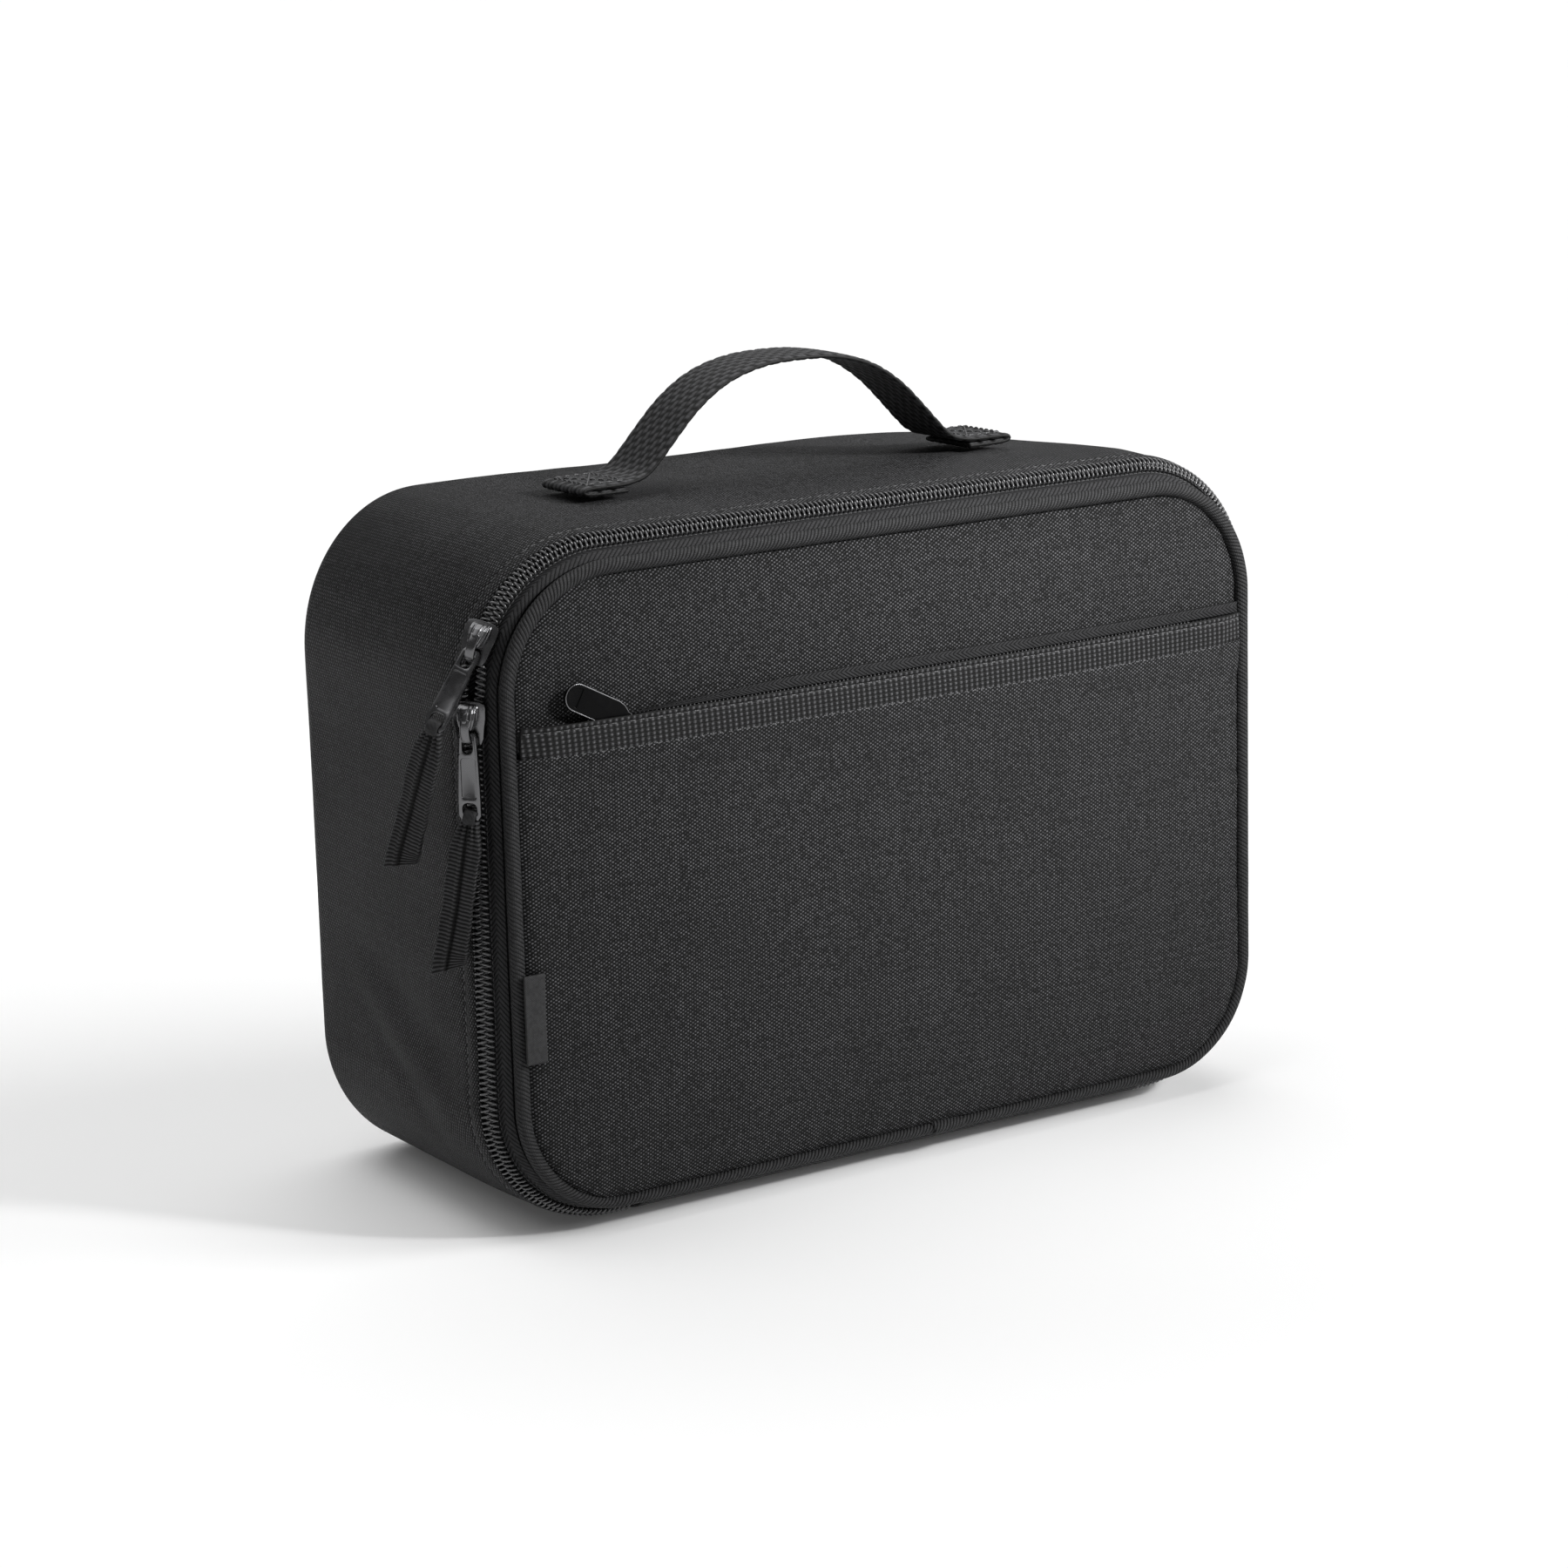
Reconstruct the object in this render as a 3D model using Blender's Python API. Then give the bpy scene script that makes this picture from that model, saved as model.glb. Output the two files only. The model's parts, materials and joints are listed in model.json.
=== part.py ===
"""Soft insulated lunch box: zipped box with a hinged front lid, pocket, carry handle and two sliders.

Axes: +X to the right seen from the front, +Y to the back, +Z up. The origin is the centre of the base.
Run with: blender --background --python part.py
"""
import math

import bmesh
import bpy
from mathutils import Matrix, Vector

MM = 0.001

# Driving dimensions, in metres.
PIPE_HALF_WIDTH = 143 * MM      # piping centre-line, half of its width
PIPE_LOW = 9 * MM               # piping centre-line above the base, at the bottom
PIPE_HIGH = 209 * MM            # and at the top
PIPE_RADIUS = 2.4 * MM
CORNER_LOW = 36 * MM            # corner radii of the piping centre-line
CORNER_HIGH = 38 * MM
DEPTH = 126 * MM                # piping plane to the back panel
FRONT_Y = -DEPTH / 2
BACK_Y = DEPTH / 2
BOTTOM_GROWTH = 0.75            # the flat bottom stands out less than the sides and top
CLOTH = 1.0 * MM
FOAM = 4.5 * MM
LINER = 0.8 * MM
TAPE = 0.6 * MM
GAP = 0.3 * MM
BULGE = 12 * MM                 # how far the sides stand outside the piping line
CROWN = 3 * MM                  # height of the front panel's crown
HINGE_HALF = 100 * MM           # half the length of the cloth hinge at the bottom

# Zip chain: its centre, measured out from the piping line and back from the piping plane.
CHAIN_OUT = 7 * MM
CHAIN_BACK = 8.5 * MM
CHAIN_TILT = math.radians(39)   # how far the tape turns out from the depth direction
COIL_WIDTH = 2.6 * MM           # one half of the chain
COIL_HEIGHT = 2.3 * MM

# Sliders and their pulls.
UPPER_SLIDER_ANGLE = math.radians(24)   # up round the top-left corner from its start
LOWER_SLIDER_Z = 166 * MM
TAB_LENGTH = 26 * MM
TAB_WIDTH = 7 * MM
TAB_THICK = 1.4 * MM
TAB_BAR = 1.5 * MM              # end bar that the ribbon is looped round
RIBBON_LENGTH = 50 * MM
RIBBON_WIDTH = 10 * MM
RIBBON_THICK = 1.6 * MM

# Carry handle.
HANDLE_Y = -3 * MM
HANDLE_WIDTH = 25 * MM
HANDLE_REACH = 84 * MM          # centre to the outer tip of a sewn end
HANDLE_SEWN = 28 * MM           # length of a sewn end
HANDLE_TOP = 257 * MM
WEBBING = 1.8 * MM

# Front pocket.
BAND_LOW = 152 * MM
BAND_HIGH = 164 * MM
POCKET_CHAIN_Z = 162.2 * MM
POCKET_SLIDER_X = -97 * MM
POCKET_TAB_ANGLE = math.radians(22)     # the tab points up from the chain
POCKET_TAB_DIP = math.radians(0.8)      # and leans in, to stay under the band at the panel's edge

COLOURS = {
    "cloth": ((0.030, 0.030, 0.032, 1), 0.85, 0.0),
    "webbing": ((0.025, 0.025, 0.027, 1), 0.80, 0.0),
    "foam": ((0.80, 0.80, 0.78, 1), 0.90, 0.0),
    "liner": ((0.70, 0.72, 0.74, 1), 0.45, 0.0),
    "chain": ((0.020, 0.020, 0.022, 1), 0.40, 0.0),
    "metal": ((0.090, 0.090, 0.095, 1), 0.35, 1.0),
    "label": ((0.250, 0.250, 0.255, 1), 0.80, 0.0),
}


def clear_scene():
    for item in list(bpy.data.objects):
        bpy.data.objects.remove(item, do_unlink=True)


def material_for(name, kind):
    colour, roughness, metallic = COLOURS[kind]
    material = bpy.data.materials.new(name)
    material.use_nodes = True
    shader = material.node_tree.nodes["Principled BSDF"]
    shader.inputs["Base Color"].default_value = colour
    shader.inputs["Roughness"].default_value = roughness
    shader.inputs["Metallic"].default_value = metallic
    return material


def solid(name, kind, points, faces, parent=None):
    """A closed mesh object from points in the parent's frame, or in world axes without a parent."""
    mesh = bpy.data.meshes.new(name)
    mesh.from_pydata([tuple(point) for point in points], [], faces)
    working = bmesh.new()
    working.from_mesh(mesh)
    bmesh.ops.recalc_face_normals(working, faces=working.faces)
    working.to_mesh(mesh)
    working.free()
    mesh.materials.append(material_for(name, kind))
    mesh.shade_smooth()
    mesh.set_sharp_from_angle(angle=math.radians(40))
    made = bpy.data.objects.new(name, mesh)
    bpy.context.collection.objects.link(made)
    made.parent = parent
    return made


def empty(name, location, rotation=None, parent=None):
    made = bpy.data.objects.new(name, None)
    bpy.context.collection.objects.link(made)
    made.location = location
    if rotation is not None:
        made.rotation_euler = rotation.to_euler()
    made.parent = parent
    return made


def cut(target, cutter):
    """Take the cutter's shape out of the target."""
    join(target, cutter, "DIFFERENCE")


def join(target, other, operation="UNION"):
    modifier = target.modifiers.new(other.name, "BOOLEAN")
    modifier.object = other
    modifier.operation = operation
    modifier.solver = "EXACT"
    other.hide_render = True
    other.display_type = "WIRE"


# ---- Outline of the box, and solids that follow it ------------------------------------------------

def arc_points(centre, radius, start_deg, end_deg, steps):
    """Points and outward normals on a quarter turn in the XZ plane."""
    turned = []
    for step in range(steps + 1):
        angle = math.radians(start_deg + (end_deg - start_deg) * step / steps)
        normal = Vector((math.cos(angle), 0, math.sin(angle)))
        turned.append((centre + radius * normal, normal))
    return turned


def piping_outline(steps=8):
    """The piping line from the hinge's right end, over the top, to its left end, and the bottom run."""
    wide, low, high = PIPE_HALF_WIDTH, PIPE_LOW, PIPE_HIGH
    down = Vector((0, 0, -1))
    right_low = Vector((wide - CORNER_LOW, 0, low + CORNER_LOW))
    right_high = Vector((wide - CORNER_HIGH, 0, high - CORNER_HIGH))
    left_high = Vector((-right_high.x, 0, right_high.z))
    left_low = Vector((-right_low.x, 0, right_low.z))
    zipped = [(Vector((HINGE_HALF, 0, low)), down)]
    zipped += arc_points(right_low, CORNER_LOW, -90, 0, steps)
    zipped += arc_points(right_high, CORNER_HIGH, 0, 90, steps)
    zipped += [(Vector((0, 0, high)), Vector((0, 0, 1)))]
    zipped += arc_points(left_high, CORNER_HIGH, 90, 180, steps)
    zipped += arc_points(left_low, CORNER_LOW, 180, 270, steps)
    zipped += [(Vector((-HINGE_HALF, 0, low)), down)]
    hinged = [(Vector((0, 0, low)), down)]
    return zipped, hinged


def grown(station, out, y):
    """A point `out` from the piping line at depth y. The two sides lean in towards the back."""
    point, normal = station
    rise = normal.z * (BOTTOM_GROWTH if normal.z < 0 else 1)
    share = (y - LEAN_START_Y) / (BACK_Y - REAR_ROUND - LEAN_START_Y)
    lean = SIDE_LEAN * min(max(share, 0), 1)
    return Vector((point.x + normal.x * (out - lean), y, point.z + rise * out))


def sweep(name, kind, section, stations, closed, parent=None, origin=Vector()):
    """Sweep a closed section of (out, y) points along the stations."""
    size = len(section)
    points = [grown(station, out, y) - origin for station in stations for out, y in section]
    count = len(stations)
    faces = []
    for ring in range(count if closed else count - 1):
        here, after = ring * size, (ring + 1) % count * size
        for side in range(size):
            following = (side + 1) % size
            faces.append((here + side, here + following, after + following, after + side))
    if not closed:
        faces.append(tuple(range(size)))
        faces.append(tuple(range(len(points) - size, len(points))))
    return solid(name, kind, points, faces, parent)


def shell_section(outer, thickness):
    """Section of a sheet whose outer face passes through the (out, y) points."""
    inner = []
    for index, (out, y) in enumerate(outer):
        before = Vector(outer[max(index - 1, 0)])
        after = Vector(outer[min(index + 1, len(outer) - 1)])
        along = (after - before).normalized()
        inner.append((out - along.y * thickness, y + along.x * thickness))
    return list(outer) + inner[::-1]


def side_out(y):
    """How far the outer cloth stands outside the piping line at depth y."""
    swell = min(max((y - FRONT_Y - 11 * MM) / (38 * MM), 0), 1)
    return 9.2 * MM + (BULGE - 9.2 * MM) * math.sin(swell * math.pi / 2)


def half_width_at(z, inset):
    """Half width, at height z, of the piping outline drawn in by `inset`."""
    wide = PIPE_HALF_WIDTH - inset
    for centre_z, radius, above in (
        (PIPE_LOW + CORNER_LOW, CORNER_LOW - inset, False),
        (PIPE_HIGH - CORNER_HIGH, CORNER_HIGH - inset, True),
    ):
        past = z - centre_z if above else centre_z - z
        if past > 0:
            return wide - radius + math.sqrt(max(radius ** 2 - past ** 2, 0))
    return wide


def crown_at(x, z):
    middle = (PIPE_LOW + PIPE_HIGH) / 2
    half_height = (PIPE_HIGH - PIPE_LOW) / 2
    return CROWN * (1 - (x / PIPE_HALF_WIDTH) ** 6) * (1 - ((z - middle) / half_height) ** 4)


def corner_rows(inset, low, high, steps=6):
    """Heights for a plate's rows, close together where the corners turn."""
    bottom, top = PIPE_LOW + inset, PIPE_HIGH - inset
    rows = set()
    for step in range(steps + 1):
        angle = math.pi / 2 * step / steps
        rows.add(bottom + (CORNER_LOW - inset) * (1 - math.cos(angle)))
        rows.add(top - (CORNER_HIGH - inset) * (1 - math.cos(angle)))
    rows |= {PIPE_LOW + 80 * MM, PIPE_LOW + 115 * MM}
    inner = [row for row in rows if low + 2 * MM < row < high - 2 * MM]
    return sorted(inner + [low, high])


def plate(name, kind, rows, width_at, front, back, crowned, columns=12, parent=None, origin=Vector()):
    """A sheet across the lid between depths `front` and `back` ahead of the piping plane."""
    points = []
    for ahead in (front, back):
        for z in rows:
            half = width_at(z)
            for column in range(columns + 1):
                x = half * (2 * column / columns - 1)
                rise = crown_at(x, z) if crowned else 0
                points.append(Vector((x, FRONT_Y - ahead - rise, z)) - origin)
    wide = columns + 1
    layer = len(rows) * wide
    faces = []
    for row in range(len(rows) - 1):
        for column in range(columns):
            first = row * wide + column
            quad = (first, first + 1, first + wide + 1, first + wide)
            faces.append(quad)
            faces.append(tuple(index + layer for index in quad))
    rim = [column for column in range(wide)]
    rim += [row * wide + columns for row in range(1, len(rows))]
    rim += [(len(rows) - 1) * wide + column for column in range(columns - 1, -1, -1)]
    rim += [row * wide for row in range(len(rows) - 2, 0, -1)]
    for here, after in zip(rim, rim[1:] + rim[:1]):
        faces.append((here, after, after + layer, here + layer))
    return solid(name, kind, points, faces, parent)


def bar(name, kind, low, high, parent=None, bevel=0.0):
    """A block between two corners, with bevelled edges where asked."""
    points = [(x, y, z) for x in (low[0], high[0]) for y in (low[1], high[1]) for z in (low[2], high[2])]
    faces = [(0, 1, 3, 2), (4, 6, 7, 5), (0, 4, 5, 1), (2, 3, 7, 6), (0, 2, 6, 4), (1, 5, 7, 3)]
    made = solid(name, kind, points, faces, parent)
    if bevel:
        edge = made.modifiers.new("edges", "BEVEL")
        edge.width = bevel
        edge.segments = 2
    return made


def slab(name, kind, outline, low, high, parent=None):
    """A flat piece: an outline in the local XY plane, between two local heights."""
    count = len(outline)
    points = [(x, y, z) for z in (low, high) for x, y in outline]
    faces = [tuple(range(count)), tuple(range(count, 2 * count))]
    faces += [(i, (i + 1) % count, (i + 1) % count + count, i + count) for i in range(count)]
    return solid(name, kind, points, faces, parent)


# ---- Body ------------------------------------------------------------------------------------------

GUSSET_FRONT = FRONT_Y + 11.2 * MM
REAR_ROUND = 12 * MM
SIDE_LEAN = 6 * MM          # how far each side leans in by the back
LEAN_START_Y = FRONT_Y + 22 * MM


def gusset_line(inward, front, back):
    """The side cloth's outer line from its front fold to the rear seam, moved in by `inward`."""
    steps = (front, FRONT_Y + 22 * MM, FRONT_Y + 36 * MM, FRONT_Y + 52 * MM, BACK_Y - REAR_ROUND)
    line = [(side_out(y) - inward, y) for y in steps]
    for angle_deg in (30, 60):
        angle = math.radians(angle_deg)
        radius = REAR_ROUND - inward
        out = BULGE - REAR_ROUND + radius * math.cos(angle)
        y = BACK_Y - REAR_ROUND + radius * math.sin(angle)
        if y < back:
            line.append((out, y))
    return line


def build_body(ring):
    cloth = shell_section(gusset_line(0, GUSSET_FRONT, BACK_Y), CLOTH)
    sweep("gusset_panel", "cloth", cloth, ring, True)
    tape_in = CLOTH + GAP
    foam_in = tape_in + TAPE + GAP
    foam_line = gusset_line(foam_in, FRONT_Y + 15 * MM, BACK_Y - 8 * MM)
    sweep("gusset_foam", "foam", shell_section(foam_line, FOAM), ring, True)

    rear_out = gusset_line(0, GUSSET_FRONT, BACK_Y)[-1][0]
    rear_seat = rear_out - CLOTH - 2.5 * GAP
    build_back("back_panel", "cloth", rear_seat, BACK_Y - 2.4 * MM, BACK_Y, ring)
    foam_back = BACK_Y - 2.4 * MM - GAP
    build_back("back_foam", "foam", rear_seat - 2.4 * MM, foam_back - FOAM, foam_back, ring)
    build_liner(foam_in + FOAM + GAP, foam_back - FOAM - GAP, ring)
    build_mouth(tape_in, foam_in, ring)


def build_back(name, kind, out, near, far, ring):
    """A closed back sheet with a softened rim."""
    rims = ((out, near), (out, far - 1.0 * MM), (out - 2.5 * MM, far))
    count = len(ring)
    points = [grown(station, edge, y) for edge, y in rims for station in ring]
    faces = [tuple(range(count)), tuple(range(2 * count, 3 * count))]
    for level in range(2):
        for index in range(count):
            here, after = level * count + index, level * count + (index + 1) % count
            faces.append((here, after, after + count, here + count))
    solid(name, kind, points, faces)


def build_liner(inward, back_y, ring):
    """A tub: side wall and back wall in one welded sheet."""
    wall = [(side_out(y) - inward, y) for y in (FRONT_Y + 15 * MM, FRONT_Y + 36 * MM, FRONT_Y + 60 * MM)]
    wall += [(BULGE - inward, back_y - 9 * MM), (BULGE - inward - 4 * MM, back_y - 2 * MM)]
    wall += [(BULGE - inward - 9 * MM, back_y)]
    inside = shell_section(wall, LINER)[len(wall):]
    profile = wall + inside
    count = len(ring)
    points = [grown(station, out, y) for out, y in profile for station in ring]
    levels = len(profile)
    faces = []
    for level in range(levels):
        if level == len(wall) - 1:
            continue
        following = (level + 1) % levels
        for index in range(count):
            turn = (index + 1) % count
            faces.append((level * count + index, level * count + turn,
                          following * count + turn, following * count + index))
    last_outer, first_inner = len(wall) - 1, len(wall)
    faces.append(tuple(last_outer * count + index for index in range(count)))
    faces.append(tuple(first_inner * count + index for index in range(count)))
    solid("body_liner", "liner", points, faces)


def build_mouth(tape_in, foam_in, ring):
    """Binding that covers the raw front edges of the foam and liner."""
    front, back = FRONT_Y + 13.2 * MM, FRONT_Y + 15 * MM - GAP
    high = side_out(back) - foam_in - GAP
    low = high - FOAM - LINER - GAP
    section = [(high, back), (high, front), (high - 1.2 * MM, front - 0.5 * MM), (low, front - 0.5 * MM),
               (low - 1.3 * MM, front), (low - 1.3 * MM, back)]
    sweep("mouth_binding", "webbing", section, ring, True)


def build_hinge():
    """Cloth hinge: a strip across the bottom from the side cloth's fold to just under the piping."""
    back_z = PIPE_LOW - BOTTOM_GROWTH * side_out(GUSSET_FRONT)
    line = [(GUSSET_FRONT - GAP, back_z + 0.1 * MM), (FRONT_Y + 6 * MM, back_z + 1.2 * MM),
            (FRONT_Y + 2.4 * MM, PIPE_LOW - 3.0 * MM)]
    section = line + [(y, z + CLOTH) for y, z in line[::-1]]
    half = HINGE_HALF - GAP
    points = [(x, y, z) for x in (-half, half) for y, z in section]
    size = len(section)
    faces = [tuple(range(size)), tuple(range(size, 2 * size))]
    faces += [(i, (i + 1) % size, (i + 1) % size + size, i + size) for i in range(size)]
    solid("hinge_strip", "cloth", points, faces)


# ---- Zip -------------------------------------------------------------------------------------------

def chain_point(across, up):
    """(out, y) of a point on the zip: `across` runs from the lid side to the body side."""
    out = CHAIN_OUT + across * math.sin(CHAIN_TILT) + up * math.cos(CHAIN_TILT)
    y = FRONT_Y + CHAIN_BACK + across * math.cos(CHAIN_TILT) - up * math.sin(CHAIN_TILT)
    return out, y


def coil_section(near, far):
    """Section of one coil half, with its top edges taken off."""
    half = COIL_HEIGHT / 2
    chamfer = 0.5 * MM
    return [chain_point(near, -half), chain_point(far, -half), chain_point(far, half - chamfer),
            chain_point(far - chamfer, half), chain_point(near + chamfer, half),
            chain_point(near, half - chamfer)]


def build_zip(zipped, hinge):
    origin = hinge.location
    seam = GAP / 2
    sweep("body_zip_coil", "chain", coil_section(seam, COIL_WIDTH), zipped, False)
    sweep("lid_zip_coil", "chain", coil_section(-COIL_WIDTH, -seam), zipped, False, hinge, origin)

    under = -COIL_HEIGHT / 2 - GAP
    start, end = chain_point(-COIL_WIDTH, under), (1.6 * MM, FRONT_Y + 2.9 * MM)
    lid_line = [chain_point(-0.4 * MM, under), start, end]
    sweep("lid_zip_tape", "webbing", shell_section(lid_line, -TAPE), zipped, False, hinge, origin)

    inward = CLOTH + GAP
    body_line = [chain_point(0.4 * MM, under), chain_point(2.4 * MM, under),
                 (side_out(FRONT_Y + 14 * MM) - inward, FRONT_Y + 14 * MM),
                 (side_out(FRONT_Y + 24 * MM) - inward, FRONT_Y + 24 * MM)]
    sweep("body_zip_tape", "webbing", shell_section(body_line, TAPE), zipped, False)


# ---- Lid -------------------------------------------------------------------------------------------

def build_lid(ring, hinge):
    origin = hinge.location
    section = []
    for step in range(8):
        angle = 2 * math.pi * step / 8
        section.append((PIPE_RADIUS * math.cos(angle), FRONT_Y + PIPE_RADIUS * math.sin(angle)))
    sweep("lid_piping", "cloth", section, ring, True, hinge, origin)

    seam = PIPE_RADIUS + GAP
    low, high = PIPE_LOW + seam, PIPE_HIGH - seam

    def width(z):
        return half_width_at(z, seam)

    plate("lid_panel", "cloth", corner_rows(seam, low, high), width, -0.5 * MM, 0.5 * MM, True,
          parent=hinge, origin=origin)
    plate("lid_foam", "foam", corner_rows(seam, low, high), width, -0.5 * MM - GAP - FOAM,
          -0.5 * MM - GAP, False, parent=hinge, origin=origin)
    liner_front = -0.5 * MM - 2 * GAP - FOAM
    plate("lid_liner", "liner", corner_rows(seam, low, high), width, liner_front - LINER, liner_front,
          False, parent=hinge, origin=origin)
    near, far = FRONT_Y + PIPE_RADIUS + GAP, FRONT_Y + 6.6 * MM
    binding = [(-seam + GAP, near), (1.0 * MM, near), (1.0 * MM, far), (-seam + GAP, far)]
    sweep("lid_binding", "webbing", binding, ring, True, hinge, origin)
    build_pocket(hinge, origin)


def build_pocket(hinge, origin):
    seam = PIPE_RADIUS + GAP
    skin = 0.5 * MM + GAP

    def width(z):
        return half_width_at(z, seam + GAP)

    low = PIPE_LOW + seam + GAP
    panel_high = BAND_LOW + 4 * MM
    plate("pocket_panel", "cloth", corner_rows(seam + GAP, low, panel_high), width, skin,
          skin + 1.2 * MM, True, parent=hinge, origin=origin)

    def strip(name, kind, bottom, top, half, front, thick):
        plate(name, kind, [bottom, top], lambda z: half, front, front + thick, True,
              parent=hinge, origin=origin)

    half = PIPE_HALF_WIDTH - seam - GAP
    strip("pocket_lower_tape", "webbing", panel_high + GAP, POCKET_CHAIN_Z - 1.5 * MM, half, skin, TAPE)
    strip("pocket_upper_tape", "webbing", POCKET_CHAIN_Z + 1.5 * MM, BAND_HIGH + 3.3 * MM, half, skin, TAPE)
    strip("pocket_zip_coil", "chain", POCKET_CHAIN_Z - 1.2 * MM, POCKET_CHAIN_Z + 1.2 * MM, 118 * MM,
          skin, 1.4 * MM)
    strip("pocket_band", "webbing", BAND_LOW, BAND_HIGH, half, skin + 3.7 * MM, 1.2 * MM)
    label_front = FRONT_Y - skin - 1.2 * MM - GAP - crown_at(-135.5 * MM, 74 * MM)
    low_corner = Vector((-140.0 * MM, label_front - 0.8 * MM, 60 * MM)) - origin
    high_corner = Vector((-135.5 * MM, label_front, 88 * MM)) - origin
    bar("side_label", "label", low_corner, high_corner, hinge)


# ---- Sliders and pulls -------------------------------------------------------------------------------

PLATE_LOW = COIL_HEIGHT / 2 + GAP
PLATE_HIGH = PLATE_LOW + 1.3 * MM
BRIDGE_TOP = PLATE_HIGH + 5.0 * MM
TAB_PIVOT = Vector((0, 3.2 * MM, PLATE_HIGH + 1.9 * MM))


def slider_body(name, seat):
    """Top plate, side lips and bridge. Local X runs across the chain, Y along it, Z away from it."""
    wide, narrow, half = 5.0 * MM, 3.9 * MM, 6.4 * MM
    outline = [(-narrow, -half), (narrow, -half), (wide, -2 * MM), (wide, 3 * MM), (narrow, half),
               (-narrow, half), (-wide, 3 * MM), (-wide, -2 * MM)]
    body = slab(name, "metal", outline, PLATE_LOW, PLATE_HIGH, seat)
    for side in (-1, 1):
        near, far = sorted((side * 3.4 * MM, side * 4.8 * MM))
        lip = bar(name + "_lip", "metal", (near, -4.5 * MM, 0.2 * MM), (far, 4.5 * MM, PLATE_LOW + 0.3 * MM),
                  seat)
        join(body, lip)
    bridge = bar(name + "_bridge", "metal", (-1.5 * MM, -5.4 * MM, PLATE_HIGH - 0.4 * MM),
                 (1.5 * MM, 6.0 * MM, BRIDGE_TOP), seat, bevel=1.4 * MM)
    window = bar(name + "_window", "metal", (-3 * MM, -3.6 * MM, PLATE_HIGH), (3 * MM, 4.4 * MM, BRIDGE_TOP - 1.3 * MM),
                 seat)
    cut(bridge, window)
    join(body, bridge)
    return body


def pull_tab(name, pivot):
    """Flat metal pull: eye round the bridge at its top, slot for the ribbon at its end."""
    half = TAB_WIDTH / 2
    top = -0.75 * MM
    outline = [(-half + 0.8 * MM, top), (half - 0.8 * MM, top), (half - 0.4 * MM, 5 * MM), (half, 9 * MM),
               (half, TAB_LENGTH - 2 * MM), (half - 1.2 * MM, TAB_LENGTH), (-half + 1.2 * MM, TAB_LENGTH),
               (-half, TAB_LENGTH - 2 * MM), (-half, 9 * MM), (-half + 0.4 * MM, 5 * MM)]
    tab = slab(name, "metal", outline, -TAB_THICK / 2, TAB_THICK / 2, pivot)
    eye = bar(name + "_eye", "metal", (-2.3 * MM, 0.75 * MM, -2 * MM), (2.3 * MM, 5.9 * MM, 2 * MM), pivot)
    slot = bar(name + "_slot", "metal", (-2.4 * MM, TAB_LENGTH - 5.2 * MM, -2 * MM),
               (2.4 * MM, TAB_LENGTH - TAB_BAR, 2 * MM), pivot)
    cut(tab, eye)
    cut(tab, slot)
    return tab


def ribbon(name, pivot):
    """Folded grosgrain pull: a loop round the tab's end bar, then the full width hanging from it."""
    narrow, wide = 1.7 * MM, RIBBON_WIDTH / 2
    loop, hole = 2.1 * MM, 1.3 * MM
    start = loop - 0.4 * MM
    outline = [(-narrow, start), (narrow, start), (narrow, 4 * MM), (wide, 8 * MM), (wide, RIBBON_LENGTH),
               (-wide, RIBBON_LENGTH), (-wide, 8 * MM), (-narrow, 4 * MM)]
    strap = slab(name, "webbing", outline, -RIBBON_THICK / 2, RIBBON_THICK / 2, pivot)
    head = bar(name + "_loop", "webbing", (-narrow, -loop, -loop), (narrow, loop, loop), pivot)
    window = bar(name + "_window", "webbing", (-2 * narrow, -hole, -hole), (2 * narrow, hole, hole), pivot)
    cut(head, window)
    join(strap, head)
    return strap


def frame_from(across, along):
    """Rotation whose local X is `across` and local Y is `along`."""
    along = along.normalized()
    away = across.cross(along).normalized()
    across = along.cross(away)
    return Matrix((across, along, away)).transposed()


def chain_frame(outward, along):
    """Slider rotation where the box's outward direction is `outward` and the chain runs `along`."""
    across = outward * math.sin(CHAIN_TILT) + Vector((0, math.cos(CHAIN_TILT), 0))
    return frame_from(across, along)


def pull_chain(side, seat, swing, lean, ribbon_way):
    """Tab and ribbon of one slider: `swing` lifts the tab, `lean` turns it sideways on its loose link."""
    turn = Matrix.Rotation(lean, 3, "Z") @ Matrix.Rotation(swing, 3, "X")
    tab_pivot = empty(side + "_tab_pivot", TAB_PIVOT, turn, seat)
    pull_tab(side + "_pull_tab", tab_pivot)
    bpy.context.view_layer.update()
    turned = tab_pivot.matrix_world.to_3x3()
    wanted = frame_from(turned.col[0], ribbon_way)
    hold = Vector((0, TAB_LENGTH - TAB_BAR / 2, 0))
    ribbon_pivot = empty(side + "_ribbon_pivot", hold, turned.inverted() @ wanted, tab_pivot)
    ribbon(side + "_ribbon", ribbon_pivot)


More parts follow.
